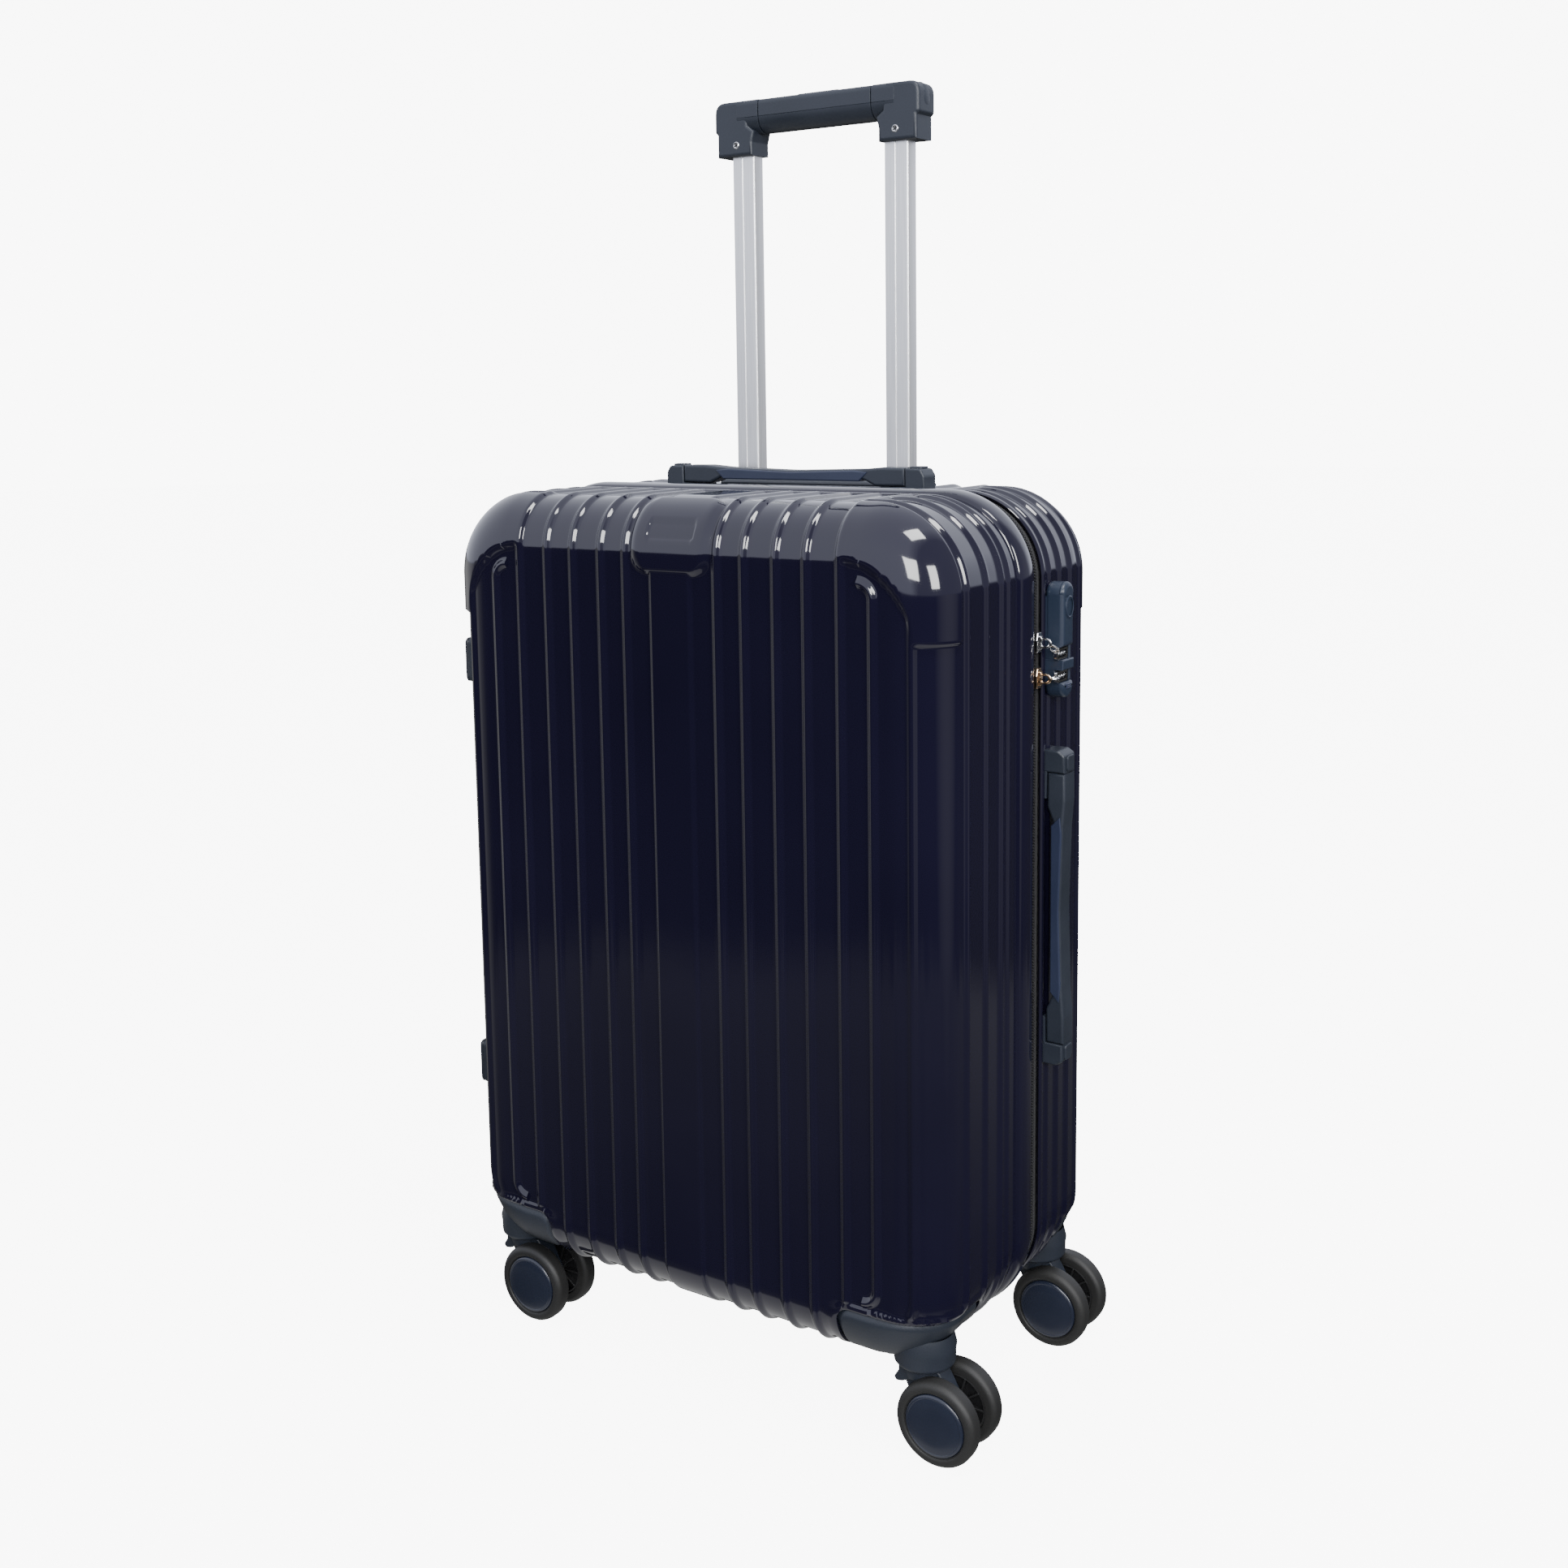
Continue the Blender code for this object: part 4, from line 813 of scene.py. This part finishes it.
# ---------------------------------------------------------------- trolley handle
def tubes():
    """Inner tubes: rectangular and rounded, with a shallow crease down the front."""
    hx, hy = 0.01025, 0.0066
    outline = rounded(rect(-hx, -hy, hx, hy), 0.0020)
    ring = []
    for (u, v), (next_u, next_v) in zip(outline, outline[1:] + outline[:1]):
        ring.append((u, v))
        if abs(v + hy) < 1e-6 and abs(next_v + hy) < 1e-6 and next_u > u + 0.01:
            ring += [(-0.0012, -hy), (-0.0006, -hy + 0.0005), (0.0, -hy)]
    inner = inset(ring, 0.0010)
    low, high = 0.3600, 0.9160
    faces = grid_faces(4, len(ring), wrap_n=True, wrap_m=True)
    for side, hand in ((-1, "left"), (1, "right")):
        points = [(side * TUBE_X + u, TUBE_Y + v, z)
                  for section, z in ((ring, low), (ring, high), (inner, high), (inner, low))
                  for u, v in section]
        piece("inner_tube_%s_satin" % hand, turned_over((points, faces)), TUBE_METAL, "trolley", "tube",
              ("trolley_inner_tube_" + hand,), 30.0)


def grip_section(grow=0.0):
    """The grip bar's (y, z) section, with a fine mould line on both sides."""
    rim, line = 0.0040, 0.0003
    top, deep = GRIP_TOP + grow, GRIP_DEEP + grow
    front, back = TUBE_Y - deep, TUBE_Y + deep
    sag = GRIP_MOULD - GRIP_BAR + grow
    out = arc_points((back - rim, top - rim), rim, 0, 90, 5)
    out += arc_points((front + rim, top - rim), rim, 90, 180, 5)
    out += [(front, GRIP_MOULD + line), (front + line, GRIP_MOULD), (front, GRIP_MOULD - line)]
    out += [(TUBE_Y - deep * math.cos(math.radians(a)), GRIP_MOULD - sag * math.sin(math.radians(a)))
            for a in range(12, 180, 12)]
    return out + [(back, GRIP_MOULD - line), (back - line, GRIP_MOULD), (back, GRIP_MOULD + line)]


def grip():
    """Bar, corners and button; each corner has a cross-head screw on its front and its back."""
    gap, leg_in, leg_out = 0.0003, 0.0560, GRIP_END - 0.0022
    bar = mapped(slab(grip_section(), -GRIP_SEAM + gap, GRIP_SEAM - gap, 0.0007, 2), along_x)
    piece("grip_bar_moulded", bar, NAVY, "trolley", "navy_plastic", ("trolley_grip",), 28.0)
    arm = mapped(slab(grip_section(0.0002), GRIP_SEAM + gap, 0.0700, 0.0007, 2), along_x)
    outline = rounded([(0.0540, GRIP_BAR + 0.0016), (leg_in, GRIP_LOW + 0.0100), (leg_in, GRIP_LOW),
                       (leg_out, GRIP_LOW), (leg_out, GRIP_BAR + 0.001), (GRIP_END, GRIP_BAR + 0.0030),
                       (GRIP_END, GRIP_TOP), (0.0620, GRIP_TOP), (0.0600, GRIP_MOULD),
                       (0.0600, GRIP_MOULD - 0.0060)],
                      [0.0, 0.005, 0.0, 0.0, 0.0, 0.006, 0.0090, 0.0, 0.0, 0.0], 5)
    elbow = mapped(slab(outline, TUBE_Y - GRIP_DEEP, TUBE_Y + GRIP_DEEP, 0.0024, 4), along_y)
    bulge = [(0.0, GRIP_END + 0.0003), (0.0062, GRIP_END - 0.0001), (0.0100, GRIP_END - 0.0015),
             (0.0122, GRIP_END - 0.0050), (0.0122, GRIP_END - 0.0120)]
    knob = mapped(turned(bulge, 40), lambda u, v, w: (w, TUBE_Y + u, 0.9345 + v))
    corner = joined(arm, elbow, turned_over(knob))
    for side, hand in ((-1, "left"), (1, "right")):
        part = mapped(corner, lambda u, v, w: (u * side, v, w))
        piece("grip_corner_%s_moulded" % hand, turned_over(part, side < 0), NAVY, "trolley",
              "navy_plastic", ("trolley_corner_" + hand,), 30.0)
        for face, way in (("front", -1), ("rear", 1)):
            screw(side * (TUBE_X + 0.0025), TUBE_Y + way * GRIP_DEEP, 0.9135, way,
                  "grip_screw_%s_%s" % (face, hand))
    pad = rounded(rect(-0.0187, -0.0063, 0.0187, 0.0063), 0.0030)
    button = mapped(slab(pad, GRIP_TOP - 0.0035, GRIP_TOP + 0.0010, 0.0009, 3), shifted(0.0, TUBE_Y, 0.0))
    piece("release_button_cap", button, NAVY_SATIN, "trolley_button", "navy_plastic", ("trolley_button",))


def screw(x, y, z, way, name):
    """Cross-head screw with a domed rim and a black cross laid on it as painted shade of the recess; way is
    the side of y it faces.
    """
    r, thin, reach = 0.0028, 0.0003, 0.0017
    head = turned([(0.0, -0.0002), (0.0008, 0.0), (0.0022, 0.0004), (r, 0.0), (r, -0.0012)], 32)
    arm = [(-thin, -reach), (thin, -reach), (thin, -thin)]
    cross = arm + [(-v, u) for u, v in arm] + [(-u, -v) for u, v in arm] + [(v, -u) for u, v in arm]
    # The cross recess is drawn as a black slab standing on the head: painted shade for the dark inside of
    # the cross.
    slot = mapped(slab(cross, 0.0001, 0.0006, 0.00005, 1), spun(math.radians(28)))

    def in_place(u, v, w):
        return (x + u * -way, y + way * w, z + v)
    piece(name, turned_over(mapped(head, in_place)), STEEL, "trolley", "plated", (), 30.0)
    # Black cross piece: painted shade of the recess, not a part of its own.
    piece(name.replace("screw", "screw_cross"), mapped(slot, in_place), BLACK, "trolley",
          "black_plastic", (), 30.0)


def top_housing():
    """Collar plate round the tubes where they come out of the rear half's top."""
    base = rounded(rect(-0.0920, -0.0150, 0.0920, 0.0165), 0.0085, 8)
    levels = [(0.0, 0.0), (0.0, 0.0016), (0.0010, 0.0028), (0.0026, 0.0038), (0.0050, 0.0044)]
    n = len(base)
    points = [(u, TUBE_Y - 0.0008 + v, Z_TOP + up) for inward, up in levels for u, v in inset(base, inward)]
    top = list(range(n * (len(levels) - 1), n * len(levels)))
    parts = [(points, grid_faces(len(levels), n, wrap_m=True) + [top])]
    collar = rounded(rect(-0.0145, -0.0106, 0.0145, 0.0106), 0.003)
    hole = rounded(rect(-0.0108, -0.0072, 0.0108, 0.0072), 0.002)
    rings = ((collar, 0.0040), (inset(collar, 0.0008), 0.0050), (hole, 0.0050), (hole, 0.0025))
    for x in (-TUBE_X, TUBE_X):
        points = [(x + u, TUBE_Y + v, Z_TOP + up) for outline, up in rings for u, v in outline]
        parts.append((points, grid_faces(len(rings), len(collar), wrap_m=True)))
    piece("trolley_top_plate", joined(*parts), NAVY, "case", "navy_plastic", ("trolley_top_housing",), 35.0)


# ---------------------------------------------------------------- carry handles
def on_top(u, v, w):
    return (u, w, Z_TOP + v)


def on_side(u, v, w):
    return (HALF_W + v, w, SIDE_HANDLE_Z - u)


def handle(tag, way, ends):
    """Two end mounts with raised pads, and the lifting grip with its lighter insert."""
    half, up = HANDLE_LEN / 2, HANDLE_UP
    y0, y1 = HANDLE_Y
    mirrored = way == on_top
    post = rounded([(half, 0.0003), (half + 0.0002, 0.0110), (half - 0.0030, up - 0.0004),
                    (0.0992, up - 0.0004), (0.0992, 0.0003)], [0.0, 0.005, 0.003, 0.0, 0.0])
    foot = [(0.0800, 0.0003), (0.1000, 0.0003), (0.1000, 0.0029), (0.0800, 0.0025)]
    pad = rounded(rect(0.1005, -0.0055, 0.1115, 0.0055), 0.0025)
    cover = mapped(slab(pad, up - 0.0010, up + 0.0010, 0.0007, 2),
                   lambda u, v, w: (u, w, (y0 + y1) / 2 + v))
    mount = joined(slab(post, y0, y1, 0.0014, 4), slab(foot, y0, y1, 0.0005, 2), cover)
    for s, end in zip((-1, 1), ends):
        part = mapped(mount, lambda u, v, w: way(s * u, v, w))
        name = "%s_handle_mount_%s" % (tag, end)
        piece(name + "_moulded", turned_over(part, (s > 0) != mirrored), NAVY, "case", "navy_plastic",
              (name,), 30.0)
    bar = rounded([(-0.0988, 0.0034), (-0.0740, 0.0030), (-0.0640, 0.0075), (0.0640, 0.0075),
                   (0.0740, 0.0030), (0.0988, 0.0034), (0.0988, up), (0.0790, up + 0.0002),
                   (0.0600, up - 0.0014), (0.0, up - 0.0030), (-0.0600, up - 0.0014),
                   (-0.0790, up + 0.0002), (-0.0988, up)],
                  [0.0, 0.006, 0.006, 0.006, 0.006, 0.0, 0.0, 0.03, 0.05, 0.05, 0.05, 0.03, 0.0], 6)
    soft = rounded([(-0.0610, 0.0062), (0.0610, 0.0062), (0.0680, 0.0132), (0.0560, up - 0.0022),
                    (0.0, up - 0.0040), (-0.0560, up - 0.0022), (-0.0680, 0.0132)],
                   [0.0, 0.0, 0.0, 0.02, 0.05, 0.02, 0.0], 6)
    for name, outline, grow, edge, mat, slot, replaces in (
            ("_handle_bar", bar, -0.0004, 0.0018, NAVY, "navy_plastic", (tag + "_handle_grip",)),
            ("_handle_insert", soft, 0.0004, 0.0010, INSERT, "handle_grip", ())):
        part = mapped(slab(outline, y0 - grow, y1 + grow, edge, 4), way)
        piece(tag + name, turned_over(part, mirrored), mat, tag + "_handle", slot, replaces, 30.0)


# ---------------------------------------------------------------- lock, sliders, feet
def lock():
    """Lock body with a stepped top cap, two pull notches, the key cylinder and the latch."""
    y0, y1 = LOCK_Y
    mid, r = (y0 + y1) / 2, (y1 - y0) / 2
    z0, z1 = LOCK_Z - LOCK_LEN / 2, LOCK_Z + LOCK_LEN / 2
    foot, face = HALF_W + 0.0003, HALF_W + LOCK_OUT
    notches = sorted((z - 0.0044, z + 0.0044) for z in PULL_Z)
    levels = [z0] + [z for pair in notches for z in pair] + [z1]
    parts = []
    for lo, hi in zip(levels[::2], levels[1::2]):
        outline = arc_points((mid, hi - r), r, 0, 180, 14) if hi == z1 else [(y1, hi), (y0, hi)]
        outline += arc_points((mid, lo + r), r, 180, 360, 14) if lo == z0 else [(y0, lo), (y1, lo)]
        parts.append(slab(outline, foot, face, 0.0034 if hi == z1 or lo == z0 else 0.0010, 5))
    core = rect(y0 + 0.0004, z0 + 0.01, y1 - 0.0004, z1 - 0.01)
    parts.append(slab(core, foot, HALF_W + 0.0080, 0.0008, 1))
    spine = rect(y1 - 0.0030, z0 + 0.012, y1 - 0.0006, z1 - 0.02)
    parts.append(slab(spine, foot, face - 0.0022, 0.0008, 1))
    piece("lock_body_moulded", mapped(joined(*parts), along_x), NAVY_SATIN, "case", "navy_plastic",
          ("lock_housing",), 30.0)
    step = arc_points((mid, z1 - r), r + 0.0002, 10, 170, 12)
    step += [(mid - 0.0080, z1 - r - 0.0030), (mid - 0.0040, z1 - r - 0.0030),
             (mid - 0.0040, z1 - r - 0.0060), (mid + 0.0078, z1 - r - 0.0060)]
    cap = mapped(slab(step, face - 0.0060, face + 0.0004, 0.0034, 5), along_x)
    piece("lock_cap", cap, NAVY_SATIN, "case", "navy_plastic", (), 30.0)
    key_z = LOCK_Z + 0.0235
    seat = turned([(0.0056, 0.0006), (0.0062, 0.0010), (0.0068, 0.0006), (0.0070, -0.0010)], 40)
    seat = mapped(seat, lambda u, v, w: (face + w, mid + u * 0.92, key_z + v * 1.15))
    piece("lock_key_ring", seat, NAVY_SATIN, "case", "navy_plastic", (), 40.0)
    disc = turned([(0.0, -0.0003), (0.0046, -0.0003), (0.0050, -0.0008), (0.0050, -0.0040)], 40)
    # The keyway is a thin black slab standing proud of the cylinder face: painted shade in place of the
    # slot's dark hollow.
    key = slab(rect(-0.0006, -0.0028, 0.0006, 0.0028), -0.0006, -0.00015, 0.00004, 1)
    for name, part, mat, slot, replaces in (
            ("lock_cylinder_face", disc, STEEL, "plated", ("lock_cylinder",)),
            ("lock_keyway_painted_shade", key, BLACK, "black_plastic", ())):
        part = mapped(part, lambda u, v, w: (HALF_W + 0.0143 + w, mid + u, key_z + v))
        piece(name, part, mat, "lock_cylinder", slot, replaces, 35.0)
    low_z = LOCK_Z - 0.0322
    latch = rounded(rect(mid - 0.0042, low_z - 0.0020, mid + 0.0042, low_z + 0.0020), 0.0008)
    parts = [slab(latch, HALF_W + 0.0130, face + 0.0004, 0.0005, 2)]
    for z in (low_z + k * 0.0012 for k in (-1, 0, 1)):
        rib = rect(mid - 0.0032, z - 0.0003, mid + 0.0032, z + 0.0003)
        parts.append(slab(rib, face, face + 0.0007, 0.0002, 1))
    piece("lock_latch_cap", mapped(joined(*parts), along_x), INSERT, "lock_latch", "lock_latch",
          ("lock_latch",), 30.0)


def ring_part(radius, wire, steps=28, sides=10):
    """A wire ring lying in the (u, v) plane."""
    section = [(radius + wire * math.cos(b), wire * math.sin(b))
               for b in (2 * math.pi * j / sides for j in range(sides))]
    points = [(r * math.cos(a), r * math.sin(a), w)
              for a in (2 * math.pi * k / steps for k in range(steps)) for r, w in section]
    return turned_over((points, grid_faces(steps, sides, wrap_n=True, wrap_m=True)))


def pull_frame(low, wide, half):
    """Open frame of a pull with a thin plate in it and a row of plain bumps."""
    outer = rounded([(0.0072, -0.0020), (low, -half), (wide, -half), (wide, half), (low, half),
                     (0.0072, 0.0020)], 0.0010, 3)
    hole = rounded(rect(low + 0.0012, -half + 0.0015, wide - 0.0018, half - 0.0015), 0.0005, 3)
    ball = turned([(0.0, 0.0012), (0.0007, 0.0009), (0.0010, 0.0), (0.0010, -0.0009)], 14)
    parts = [frame_part(outer, hole, -0.0009, 0.0009)]
    parts += [mapped(ball, shifted(low + 0.0020 + k * 0.0022, (k % 2 - 0.5) * 0.0008, 0.0))
              for k in range(6)]
    parts.append(slab(rect(low + 0.001, -0.0016, wide - 0.0042, 0.0016), -0.0006, 0.0005, 0.0002, 1))
    return joined(*parts)


def sliders():
    """Slider bodies on the coil, the rings, and the open-framed pulls lying in the notches."""
    x0 = HALF_W + 0.0112
    for tag, z, pull_z, metal_look, slot in (("upper", SLIDER_Z[0], PULL_Z[0], CHROME, "plated"),
                                             ("lower", SLIDER_Z[1], PULL_Z[1], BRASS, "slider_brass")):
        body = rounded([(-0.0042, z - 0.0070), (0.0042, z - 0.0070), (0.0046, z + 0.0020),
                        (0.0030, z + 0.0074), (-0.0030, z + 0.0074), (-0.0046, z + 0.0020)], 0.0016)
        top = rounded(rect(-0.0018, z - 0.0050, 0.0018, z + 0.0050), 0.0008, 3)
        cast = mapped(joined(slab(body, HALF_W + 0.0004, HALF_W + 0.0030, 0.0008, 3),
                             slab(top, HALF_W + 0.0024, HALF_W + 0.0046, 0.0008, 2)), along_x)
        loop = mapped(ring_part(0.0030, 0.0008), lambda u, v, w: (HALF_W + 0.0070 + u * 1.3, w, z + v))
        name = "slider_" + tag
        piece(name + "_cast", joined(cast, loop), metal_look, "case", slot, (name,), 35.0)
        pull = mapped(pull_frame(0.0088, 0.0262, 0.0038), lambda u, v, w: (x0 + w, u, pull_z + v))
        eye = mapped(ring_part(0.0031, 0.0008),
                     lambda u, v, w: (x0 + v, 0.0050 + u, (z + pull_z) / 2 + w + u * (pull_z - z) * 90))
        name = "pull_" + tag
        piece(name + "_cast", joined(pull, eye), CHROME, name, "plated", (name,), 35.0)


def frame_part(outer, hole, low, high):
    """A flat frame: two outlines with the same number of points, joined top and bottom."""
    count = 48

    def even(outline):
        """The outline as count points at even distances."""
        ring = [Vector(p) for p in outline] + [Vector(outline[0])]
        steps = [0.0]
        for a, b in zip(ring, ring[1:]):
            steps.append(steps[-1] + (b - a).length)
        out = []
        for k in range(count):
            want = steps[-1] * k / count
            i = max(j for j in range(len(ring) - 1) if steps[j] <= want + 1e-12)
            t = (want - steps[i]) / max(steps[i + 1] - steps[i], 1e-9)
            out.append(tuple(ring[i].lerp(ring[i + 1], t)))
        return out
    a, b = even(outer), even(hole)
    points = [(u, v, w) for ring, w in ((a, low), (a, high), (b, high), (b, low)) for u, v in ring]
    return turned_over((points, grid_faces(4, count, wrap_n=True, wrap_m=True)))


def side_feet():
    """Rounded studs on the hinge side, each with a thin parting line."""
    for half_name, y_mid, body in (("front", -0.1010, "lid"), ("rear", 0.0670, "case")):
        for z, tag in ((0.5210, "upper"), (0.1955, "lower")):
            outline = rounded(rect(y_mid - 0.0120, z - 0.0175, y_mid + 0.0120, z + 0.0175), 0.0050, 6)
            base = slab(outline, -HALF_W - 0.0080, -HALF_W - 0.0014, 0.0003, 1)
            top = slab(inset(outline, 0.0002), -HALF_W - 0.0125, -HALF_W - 0.0082, 0.0026, 5)
            name = "side_foot_%s_%s" % (half_name, tag)
            piece(name + "_moulded", mapped(joined(base, top), along_x), NAVY, body, "navy_plastic",
                  (name,), 30.0)


def inner_frame():
    """Materials for the outer tubes and the bottom bracket, which keep their CAD shapes."""
    for name, mat in (("trolley_outer_tube_left", TUBE_METAL), ("trolley_outer_tube_right", TUBE_METAL),
                      ("trolley_bottom_bracket", BLACK)):
        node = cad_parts[name]
        node.data.materials.clear()
        node.data.materials.append(mat)


# ---------------------------------------------------------------- floor, lights, camera
def staged(name, bm, mat):
    """A mesh of the studio, which isn't part of the object."""
    mesh = bpy.data.meshes.new(name)
    bm.to_mesh(mesh)
    bm.free()
    obj = bpy.data.objects.new(name, mesh)
    bpy.context.scene.collection.objects.link(obj)
    mesh.materials.append(mat)
    return obj


def glow_only(name, strength):
    """A material that only glows; returns its tree and its Emission node."""
    mat = bpy.data.materials.new(name)
    mat.use_nodes = True
    tree = mat.node_tree
    tree.nodes.remove(tree.nodes["Principled BSDF"])
    glow = tree.nodes.new("ShaderNodeEmission")
    glow.inputs["Strength"].default_value = strength
    tree.links.new(glow.outputs["Emission"], tree.nodes["Material Output"].inputs["Surface"])
    return mat, tree, glow


def floor():
    """White paper, lit so evenly that it has no horizon against the backdrop."""
    mat, tree, shader = new_material("floor_paper")
    cloud = texture(tree, "ShaderNodeTexNoise", 2.0, Detail=2.0).outputs["Fac"]
    drift(tree, cloud, 0.40, 0.44, shader, "Base Color")
    shader.inputs["Roughness"].default_value = 0.9
    shader.inputs["Emission Color"].default_value = (1.0, 1.0, 1.0, 1.0)
    shader.inputs["Emission Strength"].default_value = PAPER - 0.8
    bm = bmesh.new()
    bmesh.ops.create_circle(bm, cap_ends=True, radius=14.0, segments=64)
    paper = staged("floor", bm, mat)
    paper.visible_glossy = paper.visible_diffuse = paper.visible_shadow = False
    mat, tree, glow = glow_only("backdrop_glow", PAPER)
    cloud = texture(tree, "ShaderNodeTexNoise", 0.1, Detail=1.0).outputs["Fac"]
    drift(tree, cloud, 0.98, 1.0, glow, "Color")
    bm = bmesh.new()
    bmesh.ops.create_uvsphere(bm, u_segments=64, v_segments=32, radius=30.0)
    wall = staged("backdrop", bm, mat)
    wall.visible_glossy = wall.visible_diffuse = wall.visible_shadow = False
    wall.visible_transmission = wall.visible_volume_scatter = False


def reflection_dome():
    """What the gloss sees: a white ceiling, dark low walls and the pale floor underneath."""
    mat, tree, glow = glow_only("dome_glow", CEILING)
    split = tree.nodes.new("ShaderNodeSeparateXYZ")
    tree.links.new(tree.nodes.new("ShaderNodeTexCoord").outputs["Generated"], split.inputs["Vector"])
    height = ramp(tree, split.outputs["Z"], (0.0, 0.42), (0.150, 0.34), (0.170, 0.050), (0.24, 0.020),
                  (0.40, 0.004), (0.503, 0.006), (0.516, (0.74, 0.77, 0.90)), (0.75, (0.74, 0.77, 0.88)),
                  (1.0, (0.68, 0.70, 0.80)))
    left = ramp(tree, split.outputs["X"], (0.01, 0.42), (0.05, 0.16), (0.11, 0.03), (0.17, 0.0))
    right = ramp(tree, split.outputs["X"], (0.68, 1.0), (0.78, 0.30))
    side = ramp(tree, split.outputs["X"], (0.95, 0.0), (1.0, 0.22))
    back = ramp(tree, split.outputs["Y"], (0.55, 0.0), (0.75, 0.022))
    cloud = texture(tree, "ShaderNodeTexNoise", 7.0, "Generated", Detail=2.0).outputs["Fac"]
    sway = tree.nodes.new("ShaderNodeMath")
    sway.operation = "MULTIPLY_ADD"
    sway.inputs[1].default_value = 0.05
    tree.links.new(cloud, sway.inputs[0])
    tree.links.new(split.outputs["Z"], sway.inputs[2])
    wave = ramp(tree, sway.outputs["Value"], (0.28, 0.0), (0.37, 0.085), (0.385, 0.0))
    total = height
    for other, way in ((right, "MULTIPLY"), (left, "LIGHTEN"), (side, "LIGHTEN"), (back, "LIGHTEN"),
                       (wave, "LIGHTEN")):
        join = tree.nodes.new("ShaderNodeMixRGB")
        join.blend_type = way
        join.inputs["Fac"].default_value = 1.0
        tree.links.new(total, join.inputs["Color1"])
        tree.links.new(other, join.inputs["Color2"])
        total = join.outputs["Color"]
    tree.links.new(total, glow.inputs["Color"])
    bm = bmesh.new()
    bmesh.ops.create_uvsphere(bm, u_segments=64, v_segments=32, radius=20.0)
    dome = staged("reflection_dome", bm, mat)
    dome.visible_camera = dome.visible_diffuse = dome.visible_shadow = False
    dome.visible_transmission = dome.visible_volume_scatter = False


def lamp(name, spot, aim, size, power):
    light = bpy.data.lights.new(name, "AREA")
    light.shape = "RECTANGLE"
    light.size, light.size_y = size
    light.energy = power
    obj = bpy.data.objects.new(name, light)
    bpy.context.scene.collection.objects.link(obj)
    obj.location = spot
    obj.rotation_euler = (Vector(aim) - Vector(spot)).to_track_quat("-Z", "Y").to_euler()
    return obj


def studio():
    floor()
    reflection_dome()
    world = bpy.data.worlds.new("studio")
    bpy.context.scene.world = world
    world.use_nodes = True
    back = world.node_tree.nodes["Background"]
    back.inputs["Color"].default_value = (1.0, 1.0, 1.0, 1.0)
    back.inputs["Strength"].default_value = AMBIENT
    world.cycles_visibility.glossy = False
    corner = case(0.186, -0.130, 0.617)
    for name, way, size, power in (("top_box", (0.357, -0.123, 0.926), (1.1, 0.6), 45),
                                   ("front_box", (0.433, -0.806, 0.404), (0.9, 1.0), 60),
                                   ("side_box", (0.869, -0.386, 0.308), (0.7, 1.1), 50)):
        lamp(name, corner + Vector(way) * BOX_AWAY, corner, size, power).visible_camera = False


def camera():
    """Low three-quarter view from the lock's side, with a long normal lens."""
    data = bpy.data.cameras.new("camera")
    data.sensor_width = 36.0
    data.lens = 40.70
    data.shift_x, data.shift_y = 0.0227, -0.0999
    cam = bpy.data.objects.new("camera", data)
    bpy.context.scene.collection.objects.link(cam)
    turn, pitch, roll = (math.radians(a) for a in (34.13, 7.74, -0.94))
    look = Vector((-math.sin(turn) * math.cos(pitch), math.cos(turn) * math.cos(pitch), -math.sin(pitch)))
    right = Vector((math.cos(turn), math.sin(turn), 0.0))
    up = right.cross(look)
    across = right * math.cos(roll) + up * math.sin(roll)
    upward = up * math.cos(roll) - right * math.sin(roll)
    rotation = Matrix((across, upward, -look)).transposed().to_4x4()
    cam.matrix_world = Matrix.Translation(case(0.7262, -1.1172, 0.7280)) @ rotation
    bpy.context.scene.camera = cam


camera()
studio()
shells()
zipper()
linings()
hinge_strip()
packing_strap()
wheel_housings()
casters()
tubes()
grip()
top_housing()
handle("top", on_top, ("left", "right"))
handle("side", on_side, ("upper", "lower"))
lock()
sliders()
side_feet()
inner_frame()
